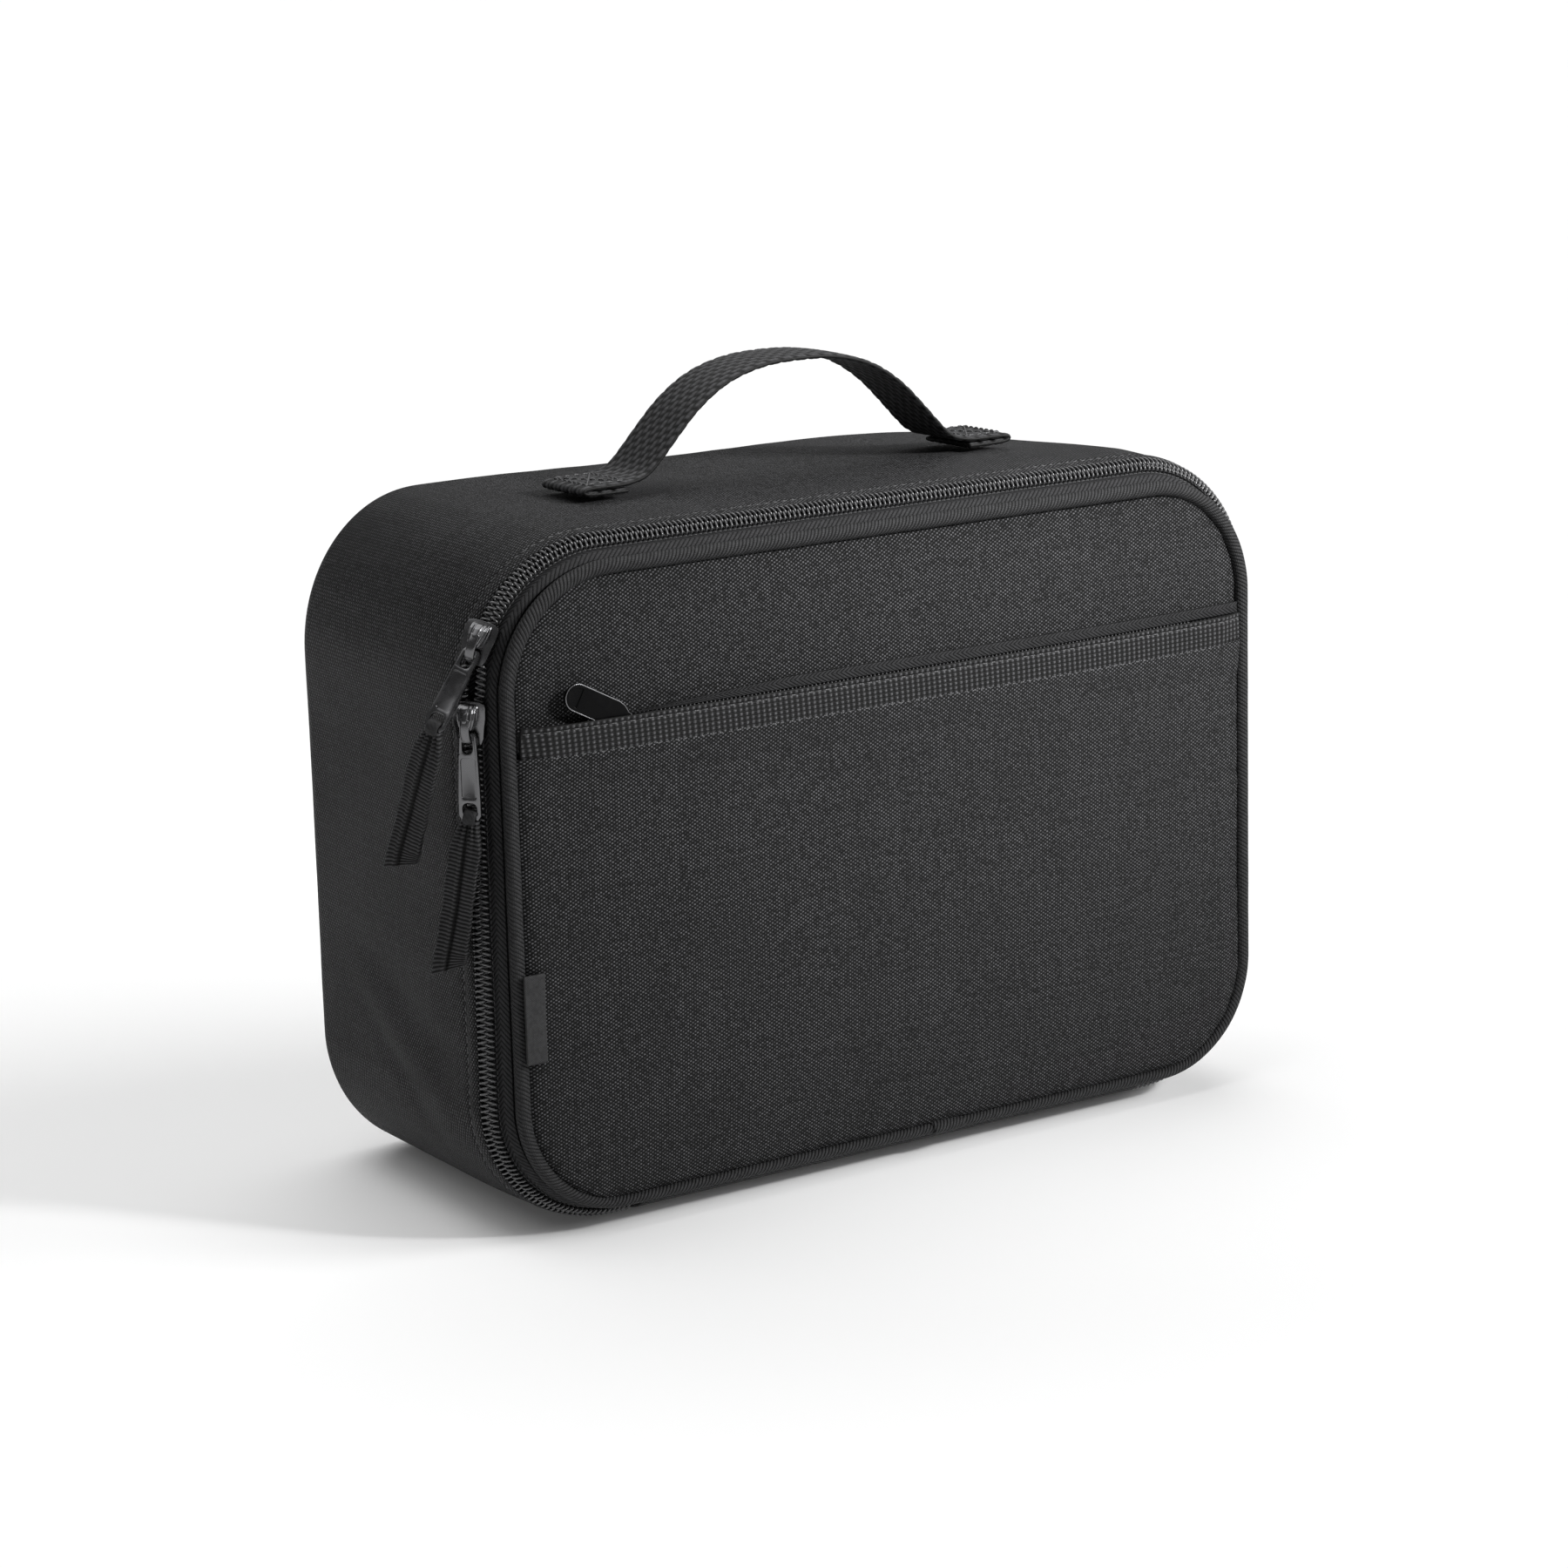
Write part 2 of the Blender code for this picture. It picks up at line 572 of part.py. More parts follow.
def build_sliders():
    arc_centre = Vector((-(PIPE_HALF_WIDTH - CORNER_HIGH), 0, PIPE_HIGH - CORNER_HIGH))
    reach = CORNER_HIGH + CHAIN_OUT
    lean = UPPER_SLIDER_ANGLE
    outward = Vector((-math.cos(lean), 0, math.sin(lean)))
    along = Vector((-math.sin(lean), 0, -math.cos(lean)))
    chain_y = FRONT_Y + CHAIN_BACK
    corner = empty("upper_slider_pivot", arc_centre + Vector((0, chain_y, 0)))
    seat = empty("upper_slider_seat", outward * reach, chain_frame(outward, along), corner)
    slider_body("upper_slider_body", seat)
    pull_chain("upper", seat, math.radians(3), math.radians(-8), Vector((-0.06, 0.38, -0.92)))

    place = Vector((-(PIPE_HALF_WIDTH + CHAIN_OUT), chain_y, LOWER_SLIDER_Z))
    seat = empty("lower_slider_seat", place, chain_frame(Vector((-1, 0, 0)), Vector((0, 0, -1))))
    slider_body("lower_slider_body", seat)
    pull_chain("lower", seat, 0, 0, Vector((-0.11, 0.16, -0.98)))


def build_pocket_slider(hinge):
    skin = 0.5 * MM + GAP + 1.4 * MM + GAP
    y = FRONT_Y - skin - crown_at(0, POCKET_CHAIN_Z)
    place = Vector((POCKET_SLIDER_X, y, POCKET_CHAIN_Z)) - hinge.location
    seat = empty("pocket_slider_seat", place, frame_from(Vector((0, 0, 1)), Vector((-1, 0, 0))), hinge)
    outline = [(-3 * MM, -5 * MM), (3 * MM, -5 * MM), (3.6 * MM, 0), (2.4 * MM, 5 * MM), (-2.4 * MM, 5 * MM),
               (-3.6 * MM, 0)]
    slab("pocket_slider_body", "metal", outline, 0, 0.8 * MM, seat)
    turn = Matrix.Rotation(-POCKET_TAB_DIP, 3, "X") @ Matrix.Rotation(-POCKET_TAB_ANGLE, 3, "Z")
    tab_pivot = empty("pocket_tab_pivot", Vector((0, 7 * MM, 0)), turn, seat)
    half, length = 4.2 * MM, 24.5 * MM
    outline = [(-1.6 * MM, -1.0 * MM), (1.6 * MM, -1.0 * MM), (half, 6 * MM)]
    for step in range(9):
        angle = math.pi * step / 8
        outline.append((half * math.cos(angle), length - half + half * math.sin(angle)))
    outline.append((-half, 6 * MM))
    slab("pocket_pull_tab", "metal", outline, 0.35 * MM, 1.1 * MM, tab_pivot)


# ---- Handle ----------------------------------------------------------------------------------------

HANDLE_SEAT = PIPE_HIGH + BULGE + 0.5 * MM
HANDLE_PIVOT_Z = HANDLE_SEAT + 2 * MM
HANDLE_FLEX = 7.5 * MM          # soft stretch between a sewn end and the stiff arch


def arch_line(count=14):
    """The strap's lower face, from the left flex to the right one."""
    half = HANDLE_REACH - HANDLE_SEWN - 7 * MM
    rise = HANDLE_TOP - WEBBING - HANDLE_PIVOT_Z - HANDLE_FLEX
    line = []
    for step in range(count + 1):
        share = 2 * step / count - 1
        x = half * math.copysign(1 - (1 - abs(share)) ** 1.15, share)
        line.append((x, HANDLE_PIVOT_Z + HANDLE_FLEX + rise * (1 - abs(x / half) ** 2.3)))
    return line


def build_handle():
    hinge = empty("handle_pivot", Vector((0, HANDLE_Y, HANDLE_PIVOT_Z)))
    line = [Vector((x, z)) for x, z in arch_line()]
    upper = []
    for index, point in enumerate(line):
        along = (line[min(index + 1, len(line) - 1)] - line[max(index - 1, 0)]).normalized()
        upper.append(point + WEBBING * Vector((-along.y, along.x)))
    half = HANDLE_WIDTH / 2
    points = []
    for low_point, high_point in zip(line, upper):
        for y, corner in ((-half, low_point), (half, low_point), (half, high_point), (-half, high_point)):
            points.append((corner.x, y, corner.y - HANDLE_PIVOT_Z))
    faces = [(0, 1, 2, 3), tuple(range(len(points) - 4, len(points)))]
    for station in range(len(line) - 1):
        for side in range(4):
            here, after = station * 4 + side, station * 4 + (side + 1) % 4
            faces.append((here, after, after + 4, here + 4))
    solid("handle_strap", "webbing", points, faces, hinge)
    for name, side in (("handle_end_left", -1), ("handle_end_right", 1)):
        inner, outer = sorted((side * (HANDLE_REACH - HANDLE_SEWN), side * HANDLE_REACH))
        bar(name, "webbing", (inner, HANDLE_Y - half, HANDLE_SEAT),
            (outer, HANDLE_Y + half, HANDLE_SEAT + 2 * WEBBING), bevel=0.8 * MM)


def build():
    clear_scene()
    zipped, hinged = piping_outline()
    ring = zipped + hinged
    hinge = empty("lid_hinge", Vector((0, FRONT_Y, PIPE_LOW)))
    build_body(ring)
    build_hinge()
    build_zip(zipped, hinge)
    build_lid(ring, hinge)
    build_sliders()
    build_pocket_slider(hinge)
    build_handle()


build()
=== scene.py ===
"""Looks of the soft insulated lunch box: cloth, webbing, coil zip, stitching, metal pulls, liner."""
import math

import bmesh
import bpy
import numpy as np
from mathutils import Matrix, Vector
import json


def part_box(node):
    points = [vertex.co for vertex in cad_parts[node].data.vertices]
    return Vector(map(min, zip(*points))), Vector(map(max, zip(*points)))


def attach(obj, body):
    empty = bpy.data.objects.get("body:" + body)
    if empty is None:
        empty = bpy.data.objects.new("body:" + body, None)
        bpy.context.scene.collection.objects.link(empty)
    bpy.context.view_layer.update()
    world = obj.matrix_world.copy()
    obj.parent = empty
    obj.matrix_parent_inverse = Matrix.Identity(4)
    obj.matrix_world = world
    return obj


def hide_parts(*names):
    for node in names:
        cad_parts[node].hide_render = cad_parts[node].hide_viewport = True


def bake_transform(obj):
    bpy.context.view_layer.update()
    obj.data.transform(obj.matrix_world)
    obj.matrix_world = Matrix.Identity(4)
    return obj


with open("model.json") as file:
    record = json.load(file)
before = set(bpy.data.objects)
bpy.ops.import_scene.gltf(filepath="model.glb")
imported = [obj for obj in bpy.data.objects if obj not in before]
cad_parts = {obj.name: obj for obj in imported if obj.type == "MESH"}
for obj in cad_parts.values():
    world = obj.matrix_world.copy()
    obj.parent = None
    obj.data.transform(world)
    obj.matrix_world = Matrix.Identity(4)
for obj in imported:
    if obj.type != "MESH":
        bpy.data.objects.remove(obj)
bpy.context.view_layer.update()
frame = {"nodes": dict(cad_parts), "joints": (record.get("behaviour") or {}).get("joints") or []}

MM = 0.001
TAU = 2 * math.pi

# Sizes read from the frame.
pipe_min, pipe_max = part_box("lid_piping")
PIPE_RADIUS = (pipe_max.y - pipe_min.y) / 2
HALF_WIDTH = pipe_max.x - PIPE_RADIUS
FRONT_Y = (pipe_min.y + pipe_max.y) / 2
PIPE_HIGH = pipe_max.z - PIPE_RADIUS
BOTTOM_GROWTH = 0.75            # the flat bottom stands out less than the sides and top
PIPE_LOW = pipe_min.z + BOTTOM_GROWTH * PIPE_RADIUS
BACK_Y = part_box("back_panel")[1].y
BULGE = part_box("gusset_panel")[1].x - HALF_WIDTH
HINGE_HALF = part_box("hinge_strip")[1].x
MIDDLE_Z = (PIPE_LOW + PIPE_HIGH) / 2

# Sizes that repeat the design's own.
CORNER_LOW = 36 * MM
CORNER_HIGH = 38 * MM
CLOTH = 1.0 * MM
FOAM = 4.5 * MM
LINER = 0.8 * MM
TAPE = 0.6 * MM
GAP = 0.3 * MM
FOLD_OUT = 9.2 * MM             # how far the side cloth stands out at its folded edge
CROWN = 4.5 * MM                # how far the padded lid swells in its middle
CHAIN_OUT = 7 * MM
CHAIN_BACK = 8.5 * MM
CHAIN_TILT = math.radians(39)
REAR_ROUND = 12 * MM
SIDE_LEAN = 6 * MM              # how far each side leans in by the back
LEAN_START_Y = FRONT_Y + 22 * MM
FOLD_Y = FRONT_Y + 11.2 * MM    # the side cloth's folded edge beside the chain
TOPSTITCH_Y = FOLD_Y + 4.8 * MM
SWEEP_STATIONS = 420            # places round the outline where a plain sweep has points


# ---- Numbers and lines -----------------------------------------------------------------------------

def ramp(value, length):
    """The value as a share of the length, held between 0 and 1."""
    return np.clip(value / length, 0, 1)


def ease(share):
    """The same share with a soft start and stop."""
    return share * share * (3 - 2 * share)


def signed_power(values, power):
    return np.sign(values) * np.abs(values) ** power


def unit(vectors):
    return vectors / np.linalg.norm(vectors, axis=-1, keepdims=True)


def stacked(*parts):
    """Points from their coordinates, which broadcast together."""
    return np.stack(np.broadcast_arrays(*parts), -1)


def travelled(line):
    """Distance along a polyline at each of its points."""
    return np.concatenate([[0], np.cumsum(np.linalg.norm(np.diff(line, axis=0), axis=1))])


def line_normals(line):
    """The left-hand normal at each point of an (n, 2) line."""
    along = unit(np.gradient(line, axis=0))
    return np.stack([-along[:, 1], along[:, 0]], -1)


def there_and_back(values):
    """Cloth distances across a sheet's two faces, with one more value for the way back to the start."""
    return np.concatenate([values, values[::-1], values[:1]])


def two_faced(front, rear):
    """Closed rings from the rows of a sheet's two faces: across the front, then back across the rear."""
    return np.concatenate([front, rear[:, ::-1]], 1)


# ---- Node helpers ----------------------------------------------------------------------------------

class Shader:
    """A Principled material with short calls for its node tree."""

    def __init__(self, name, colour, roughness, metallic=0.0, sheen=0.0, specular=0.5):
        self.material = bpy.data.materials.new(name)
        self.material.use_nodes = True
        self.tree = self.material.node_tree
        self.principled = self.tree.nodes["Principled BSDF"]
        for socket, value in (("Base Color", (*colour, 1)), ("Roughness", roughness), ("Metallic", metallic),
                              ("Sheen Weight", sheen), ("Sheen Roughness", 0.4), ("Specular IOR Level", specular)):
            self.principled.inputs[socket].default_value = value

    def plug(self, socket, value):
        if isinstance(value, bpy.types.NodeSocket):
            self.tree.links.new(value, socket)
        else:
            socket.default_value = value

    def maths(self, operation, first, second=0.0, third=0.0):
        node = self.tree.nodes.new("ShaderNodeMath")
        node.operation = operation
        for socket, value in zip(node.inputs, (first, second, third)):
            self.plug(socket, value)
        return node.outputs[0]

    def times(self, first, second):
        return self.maths("MULTIPLY", first, second)

    def attribute(self, name):
        """What the mesh stores: "cloth", or "relief", from 0 in a pit of the weave to 1 on a float."""
        node = self.tree.nodes.new("ShaderNodeAttribute")
        node.attribute_name = name
        return node.outputs

    def cloth_axes(self):
        """Distances in metres along and across the cloth."""
        split = self.tree.nodes.new("ShaderNodeSeparateXYZ")
        self.tree.links.new(self.attribute("cloth")["Vector"], split.inputs[0])
        return split.outputs[0], split.outputs[1]

    def noise(self, scale, detail=2.0, roughness=0.5):
        coordinates = self.tree.nodes.new("ShaderNodeTexCoord")
        node = self.tree.nodes.new("ShaderNodeTexNoise")
        node.inputs["Scale"].default_value = scale
        node.inputs["Detail"].default_value = detail
        node.inputs["Roughness"].default_value = roughness
        self.tree.links.new(coordinates.outputs["Object"], node.inputs["Vector"])
        return node.outputs["Fac"]

    def remap(self, value, new_low, new_high, low=0.3, high=0.7):
        """The value's usual range, by default that of a noise, stretched to a new one."""
        node = self.tree.nodes.new("ShaderNodeMapRange")
        self.plug(node.inputs[0], value)
        for index, number in enumerate((low, high, new_low, new_high)):
            node.inputs[index + 1].default_value = number
        return node.outputs[0]

    def tint(self, dark, light, amount):
        """Base colour between two shades."""
        node = self.tree.nodes.new("ShaderNodeMix")
        node.data_type = "RGBA"
        self.plug(node.inputs["Factor"], amount)
        node.inputs["A"].default_value = (*dark, 1)
        node.inputs["B"].default_value = (*light, 1)
        self.tree.links.new(node.outputs["Result"], self.principled.inputs["Base Color"])

    def contrast(self, colour, factors, amount):
        """Base colour between a darker and a lighter shade of one colour."""
        self.tint(shade(colour, factors[0]), shade(colour, factors[1]), amount)

    def bump(self, height, distance, strength=1.0):
        node = self.tree.nodes.new("ShaderNodeBump")
        node.inputs["Strength"].default_value = strength
        node.inputs["Distance"].default_value = distance
        self.tree.links.new(height, node.inputs["Height"])
        self.tree.links.new(node.outputs["Normal"], self.principled.inputs["Normal"])

    def rough(self, value):
        self.tree.links.new(value, self.principled.inputs["Roughness"])

    def ridge(self, value):
        """One round-topped thread for each unit of the value, from 0 at its edges to 1 on top."""
        part = self.maths("FRACT", value)
        away = self.maths("MULTIPLY_ADD", part, 2.0, -1.0)
        return self.maths("SQRT", self.maths("SUBTRACT", 1.0, self.times(away, away)))

    def per_thread(self, value):
        """A number from 0 to 1 that stays the same along one thread."""
        node = self.tree.nodes.new("ShaderNodeTexWhiteNoise")
        node.noise_dimensions = "1D"
        self.tree.links.new(self.maths("FLOOR", value), node.inputs["W"])
        return node.outputs["Value"]

    def swing(self, along, other):
        """From 0 to 1 as a thread passes under and over its neighbours."""
        turns = self.maths("ADD", along, self.maths("FLOOR", other))
        wave = self.maths("COSINE", self.times(turns, math.pi))
        return self.maths("MULTIPLY_ADD", wave, 0.5, 0.5)


def shade(colour, factor):
    return tuple(part * factor for part in colour)


def plain_weave(name, colour, warp, weft, depth=0.30 * MM, roughness=0.62, contrast=(0.12, 9.0)):
    """Plain-weave cloth: each thread goes over one neighbour and under the next, with a painted glint where it is on
    top and painted shade in the gaps.
    """
    shader = Shader(name, colour, roughness, sheen=0.01, specular=0.12)
    along, across = shader.cloth_axes()
    u = shader.maths("DIVIDE", along, warp)
    v = shader.maths("DIVIDE", across, weft)
    over = shader.times(shader.ridge(u), shader.swing(v, u))
    crossing = shader.times(shader.ridge(v), shader.swing(u, shader.maths("ADD", v, 1.0)))
    height = shader.maths("MAXIMUM", over, shader.times(crossing, 0.8))
    glint = shader.maths("POWER", shader.maths("MAXIMUM", over, shader.times(crossing, 0.35)), 2.8)
    thread = shader.maths("ADD", shader.per_thread(u), shader.per_thread(shader.maths("ADD", v, 71.0)))
    slub = shader.noise(900)
    patch = shader.noise(28, 3.0)
    lift = shader.times(glint, shader.remap(slub, 0.25, 1.6, 0.35, 0.65))
    streaked_glint = shader.times(lift, shader.remap(thread, 0.75, 1.25, 0.0, 2.0))
    mottled_glint = shader.times(streaked_glint, shader.remap(patch, 0.85, 1.1))
    # Base colour from painted shade in the gaps to a painted glint on each thread's top, varied at random by thread,
    # slub and patch.
    shader.contrast(colour, contrast, mottled_glint)
    shader.rough(shader.remap(slub, roughness - 0.08, roughness + 0.08))
    shader.bump(height, depth)
    return shader.material


def slanted(name, colour, pitch, slope, strand, strand_share, grain, lift_range, contrast, depth, specular,
            half_band=None):
    """Cloth of slanted ribs, painted lighter on each rib's top as a painted highlight and darker between as painted
    shade. On zip tape they turn back along the middle of the band.
    """
    shader = Shader(name, colour, 0.6, specular=specular)
    along, across = shader.cloth_axes()
    folded = shader.maths("PINGPONG", across, half_band) if half_band else across
    rib = shader.ridge(shader.maths("DIVIDE", shader.maths("ADD", along, shader.times(folded, slope)), pitch))
    fine = shader.ridge(shader.maths("DIVIDE", across, strand))
    height = shader.times(rib, shader.maths("MULTIPLY_ADD", fine, strand_share, 1 - strand_share))
    lift = shader.times(shader.maths("POWER", height, 2.0), shader.remap(shader.noise(grain), *lift_range))
    # Painted highlight on the rib tops and painted shade in the hollows between them.
    shader.contrast(colour, contrast, lift)
    shader.bump(height, depth)
    return shader.material


def twill(name, colour, pitch):
    """Piping and binding cloth."""
    return slanted(name, colour, pitch, 0.6, 0.6 * MM, 0.3, 600, (0.6, 1.2), (0.06, 3.4), 0.5 * MM, 0.2)


def ribbed(name, colour, strand, contrast):
    """Webbing and grosgrain: the ribs are in the mesh, and this adds their fine strands, painted shade in the pits and
    a painted highlight on the floats.
    """
    shader = Shader(name, colour, 0.62, sheen=0.01, specular=0.2)
    along, across = shader.cloth_axes()
    slant = shader.maths("ADD", across, shader.times(along, 0.3))
    height = shader.maths("MULTIPLY_ADD", shader.ridge(shader.maths("DIVIDE", slant, strand)), 0.6, 0.4)
    raised = shader.maths("POWER", shader.attribute("relief")["Fac"], 2.0)
    lift = shader.times(shader.times(height, raised), shader.remap(shader.noise(800), 0.7, 1.2))
    # Painted highlight on the raised floats and strands, painted shade in the pits.
    shader.contrast(colour, contrast, lift)
    shader.bump(height, 0.12 * MM)
    return shader.material


def thread_material():
    shader = Shader("thread", (0.020, 0.020, 0.021), 0.5, sheen=0.1)
    along, across = shader.cloth_axes()
    twist = shader.maths("ADD", along, shader.times(across, 1.2))
    ply = shader.ridge(shader.maths("DIVIDE", twist, 0.55 * MM))
    # Painted highlight on each ply's crest and painted shade between the plies.
    shader.tint((0.012, 0.012, 0.013), (0.050, 0.050, 0.052), ply)
    shader.bump(ply, 0.06 * MM)
    return shader.material


def coil_material():
    shader = Shader("coil_nylon", (0.030, 0.030, 0.032), 0.28, specular=0.9)
    scuff = shader.noise(1500)
    shader.rough(shader.remap(scuff, 0.20, 0.38))
    shader.tint((0.022, 0.022, 0.023), (0.080, 0.080, 0.083), scuff)
    return shader.material


def metal_material(name, colour, roughness):
    """Plated die-cast metal: faint casting grain and uneven polish."""
    shader = Shader(name, colour, roughness, metallic=1.0)
    grain = shader.noise(2600, 3.0, 0.6)
    polish = shader.noise(220)
    shader.rough(shader.remap(polish, roughness - 0.07, roughness + 0.08))
    shader.contrast(colour, (0.8, 1.25), polish)
    shader.bump(grain, 0.02 * MM, 0.6)
    return shader.material


def enamel_material():
    shader = Shader("enamel", (0.002, 0.002, 0.0022), 0.3, specular=0.06)
    haze = shader.noise(400)
    shader.rough(shader.remap(haze, 0.22, 0.4))
    shader.bump(haze, 0.02 * MM, 0.4)
    return shader.material


def liner_material():
    """Welded food-safe film: pale satin with soft creases."""
    shader = Shader("liner_film", (0.55, 0.57, 0.60), 0.36, specular=0.5)
    crease = shader.noise(60, 4.0, 0.55)
    # Painted shade in the hollows of the creases and painted highlight on their crests.
    shader.tint((0.36, 0.375, 0.39), (0.46, 0.475, 0.49), shader.remap(crease, 0.2, 0.9))
    shader.rough(shader.remap(crease, 0.28, 0.48))
    shader.bump(crease, 3.0 * MM, 0.8)
    return shader.material


def foam_material():
    shader = Shader("foam", (0.78, 0.78, 0.76), 0.9)
    cells = shader.noise(1400, 3.0, 0.6)
    # Painted shade in the hollows of the cells and lighter colour on their tops.
    shader.tint((0.62, 0.62, 0.60), (0.84, 0.84, 0.82), cells)
    shader.bump(cells, 0.3 * MM, 0.7)
    return shader.material


BLACK = (0.0110, 0.0110, 0.0115)
CLOTH_MAT = plain_weave("shell_cloth", BLACK, 0.885 * MM, 0.59 * MM)
PIPING_MAT = twill("piping_cloth", shade(BLACK, 0.8), 1.35 * MM)
TAPE_MAT = slanted("zip_tape", shade(BLACK, 0.95), 1.75 * MM, 1.1, 0.5 * MM, 0.35, 700, (0.7, 1.15), (0.15, 3.0),
                   0.3 * MM, 0.12, 3.1 * MM)
WEBBING_MAT = ribbed("webbing", BLACK, 0.55 * MM, contrast=(0.08, 7.0))
BAND_MAT = ribbed("pocket_webbing", BLACK, 0.70 * MM, contrast=(0.10, 13.0))
RIBBON_MAT = ribbed("ribbon", BLACK, 0.40 * MM, contrast=(0.06, 4.6))
BINDING_MAT = twill("binding", BLACK, 1.1 * MM)
LABEL_MAT = plain_weave("label", (0.040, 0.040, 0.041), 0.30 * MM, 0.26 * MM, 0.05 * MM, 0.5, (0.5, 1.6))
THREAD_MAT = thread_material()
COIL_MAT = coil_material()
METAL_MAT = metal_material("gunmetal", (0.130, 0.130, 0.134), 0.25)
RIM_MAT = metal_material("polished_rim", (0.16, 0.16, 0.165), 0.3)
ENAMEL_MAT = enamel_material()
LINER_MAT = liner_material()
FOAM_MAT = foam_material()


# ---- Mesh helpers ----------------------------------------------------------------------------------

def build_mesh(name, points, faces, material, cloth=None, smooth=True):
    """points: (n, 3). faces: list of index arrays, each (m, corners). cloth: per-corner (u, v) lists."""
    mesh = bpy.data.meshes.new(name)
    points = np.asarray(points, np.float32)
    mesh.vertices.add(len(points))
    mesh.vertices.foreach_set("co", points.ravel())
    corners = np.concatenate([group.ravel() for group in faces]).astype(np.int32)
    sizes = np.concatenate([np.full(len(group), group.shape[1]) for group in faces]).astype(np.int32)
    starts = np.concatenate([[0], np.cumsum(sizes)[:-1]]).astype(np.int32)
    mesh.loops.add(len(corners))
    mesh.loops.foreach_set("vertex_index", corners)
    mesh.polygons.add(len(sizes))
    mesh.polygons.foreach_set("loop_start", starts)
    mesh.update(calc_edges=True)
    mesh.validate()
    if cloth is not None:
        flat = np.concatenate([group.reshape(-1, 2) for group in cloth])
        values = np.zeros((len(flat), 3), np.float32)
        values[:, :2] = flat
        attribute = mesh.attributes.new("cloth", "FLOAT_VECTOR", "CORNER")
        attribute.data.foreach_set("vector", values.ravel())
    mesh.materials.append(material)
    if smooth:
        mesh.shade_smooth()
    made = bpy.data.objects.new(name, mesh)
    bpy.context.scene.collection.objects.link(made)
    return made


def mark_relief(made, values):
    """Store the weave's height at each vertex, from which the material paints shade in the pits and a highlight on the
    floats.
    """
    attribute = made.data.attributes.new("relief", "FLOAT", "POINT")
    attribute.data.foreach_set("value", np.ascontiguousarray(values, np.float32).ravel())


def outward(made):
    """Turn every face of a closed piece outward."""
    working = bmesh.new()
    working.from_mesh(made.data)
    bmesh.ops.recalc_face_normals(working, faces=working.faces)
    working.to_mesh(made.data)
    working.free()
    return made


def grid_corners(rows, columns, closed=False):
    """(n, 4) row and column steps at the corners of a grid's quads. Columns wrap, and rows too where closed."""
    i, j = np.meshgrid(np.arange(rows if closed else rows - 1), np.arange(columns), indexing="ij")
    return [np.stack(steps, -1).reshape(-1, 4) for steps in ((i, i + 1, i + 1, i), (j, j, j + 1, j + 1))]


def ring_corners(rows, columns):
    """The same corners taken the other way round."""
    return [steps[:, [0, 3, 2, 1]] for steps in grid_corners(rows, columns)]


def grid_piece(name, points, material, u, v, closed=False):
    """A closed mesh from a (U, V, 3) grid whose columns wrap. Its rows wrap where closed, or else end in caps.

    u and v are cloth distances, with one more value where the grid wraps.
    """
    rows, columns = points.shape[:2]
    u, v = np.asarray(u, float), np.asarray(v, float)
    i, j = grid_corners(rows, columns, closed)
    faces = [i % rows * columns + j % columns]
    cloth = [np.stack([u[i], v[j]], -1)]
    if not closed:
        for row in (0, rows - 1):
            faces.append(row * columns + np.arange(columns)[None])
            cloth.append(np.stack([np.full(columns, u[row]), v[:columns]], -1)[None])
    return outward(build_mesh(name, points.reshape(-1, 3), faces, material, cloth))


def settle(made, body, slot, *replaced):
    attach(made, body)
    if replaced:
        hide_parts(*replaced)
    return made


# ---- The outline of the box ------------------------------------------------------------------------

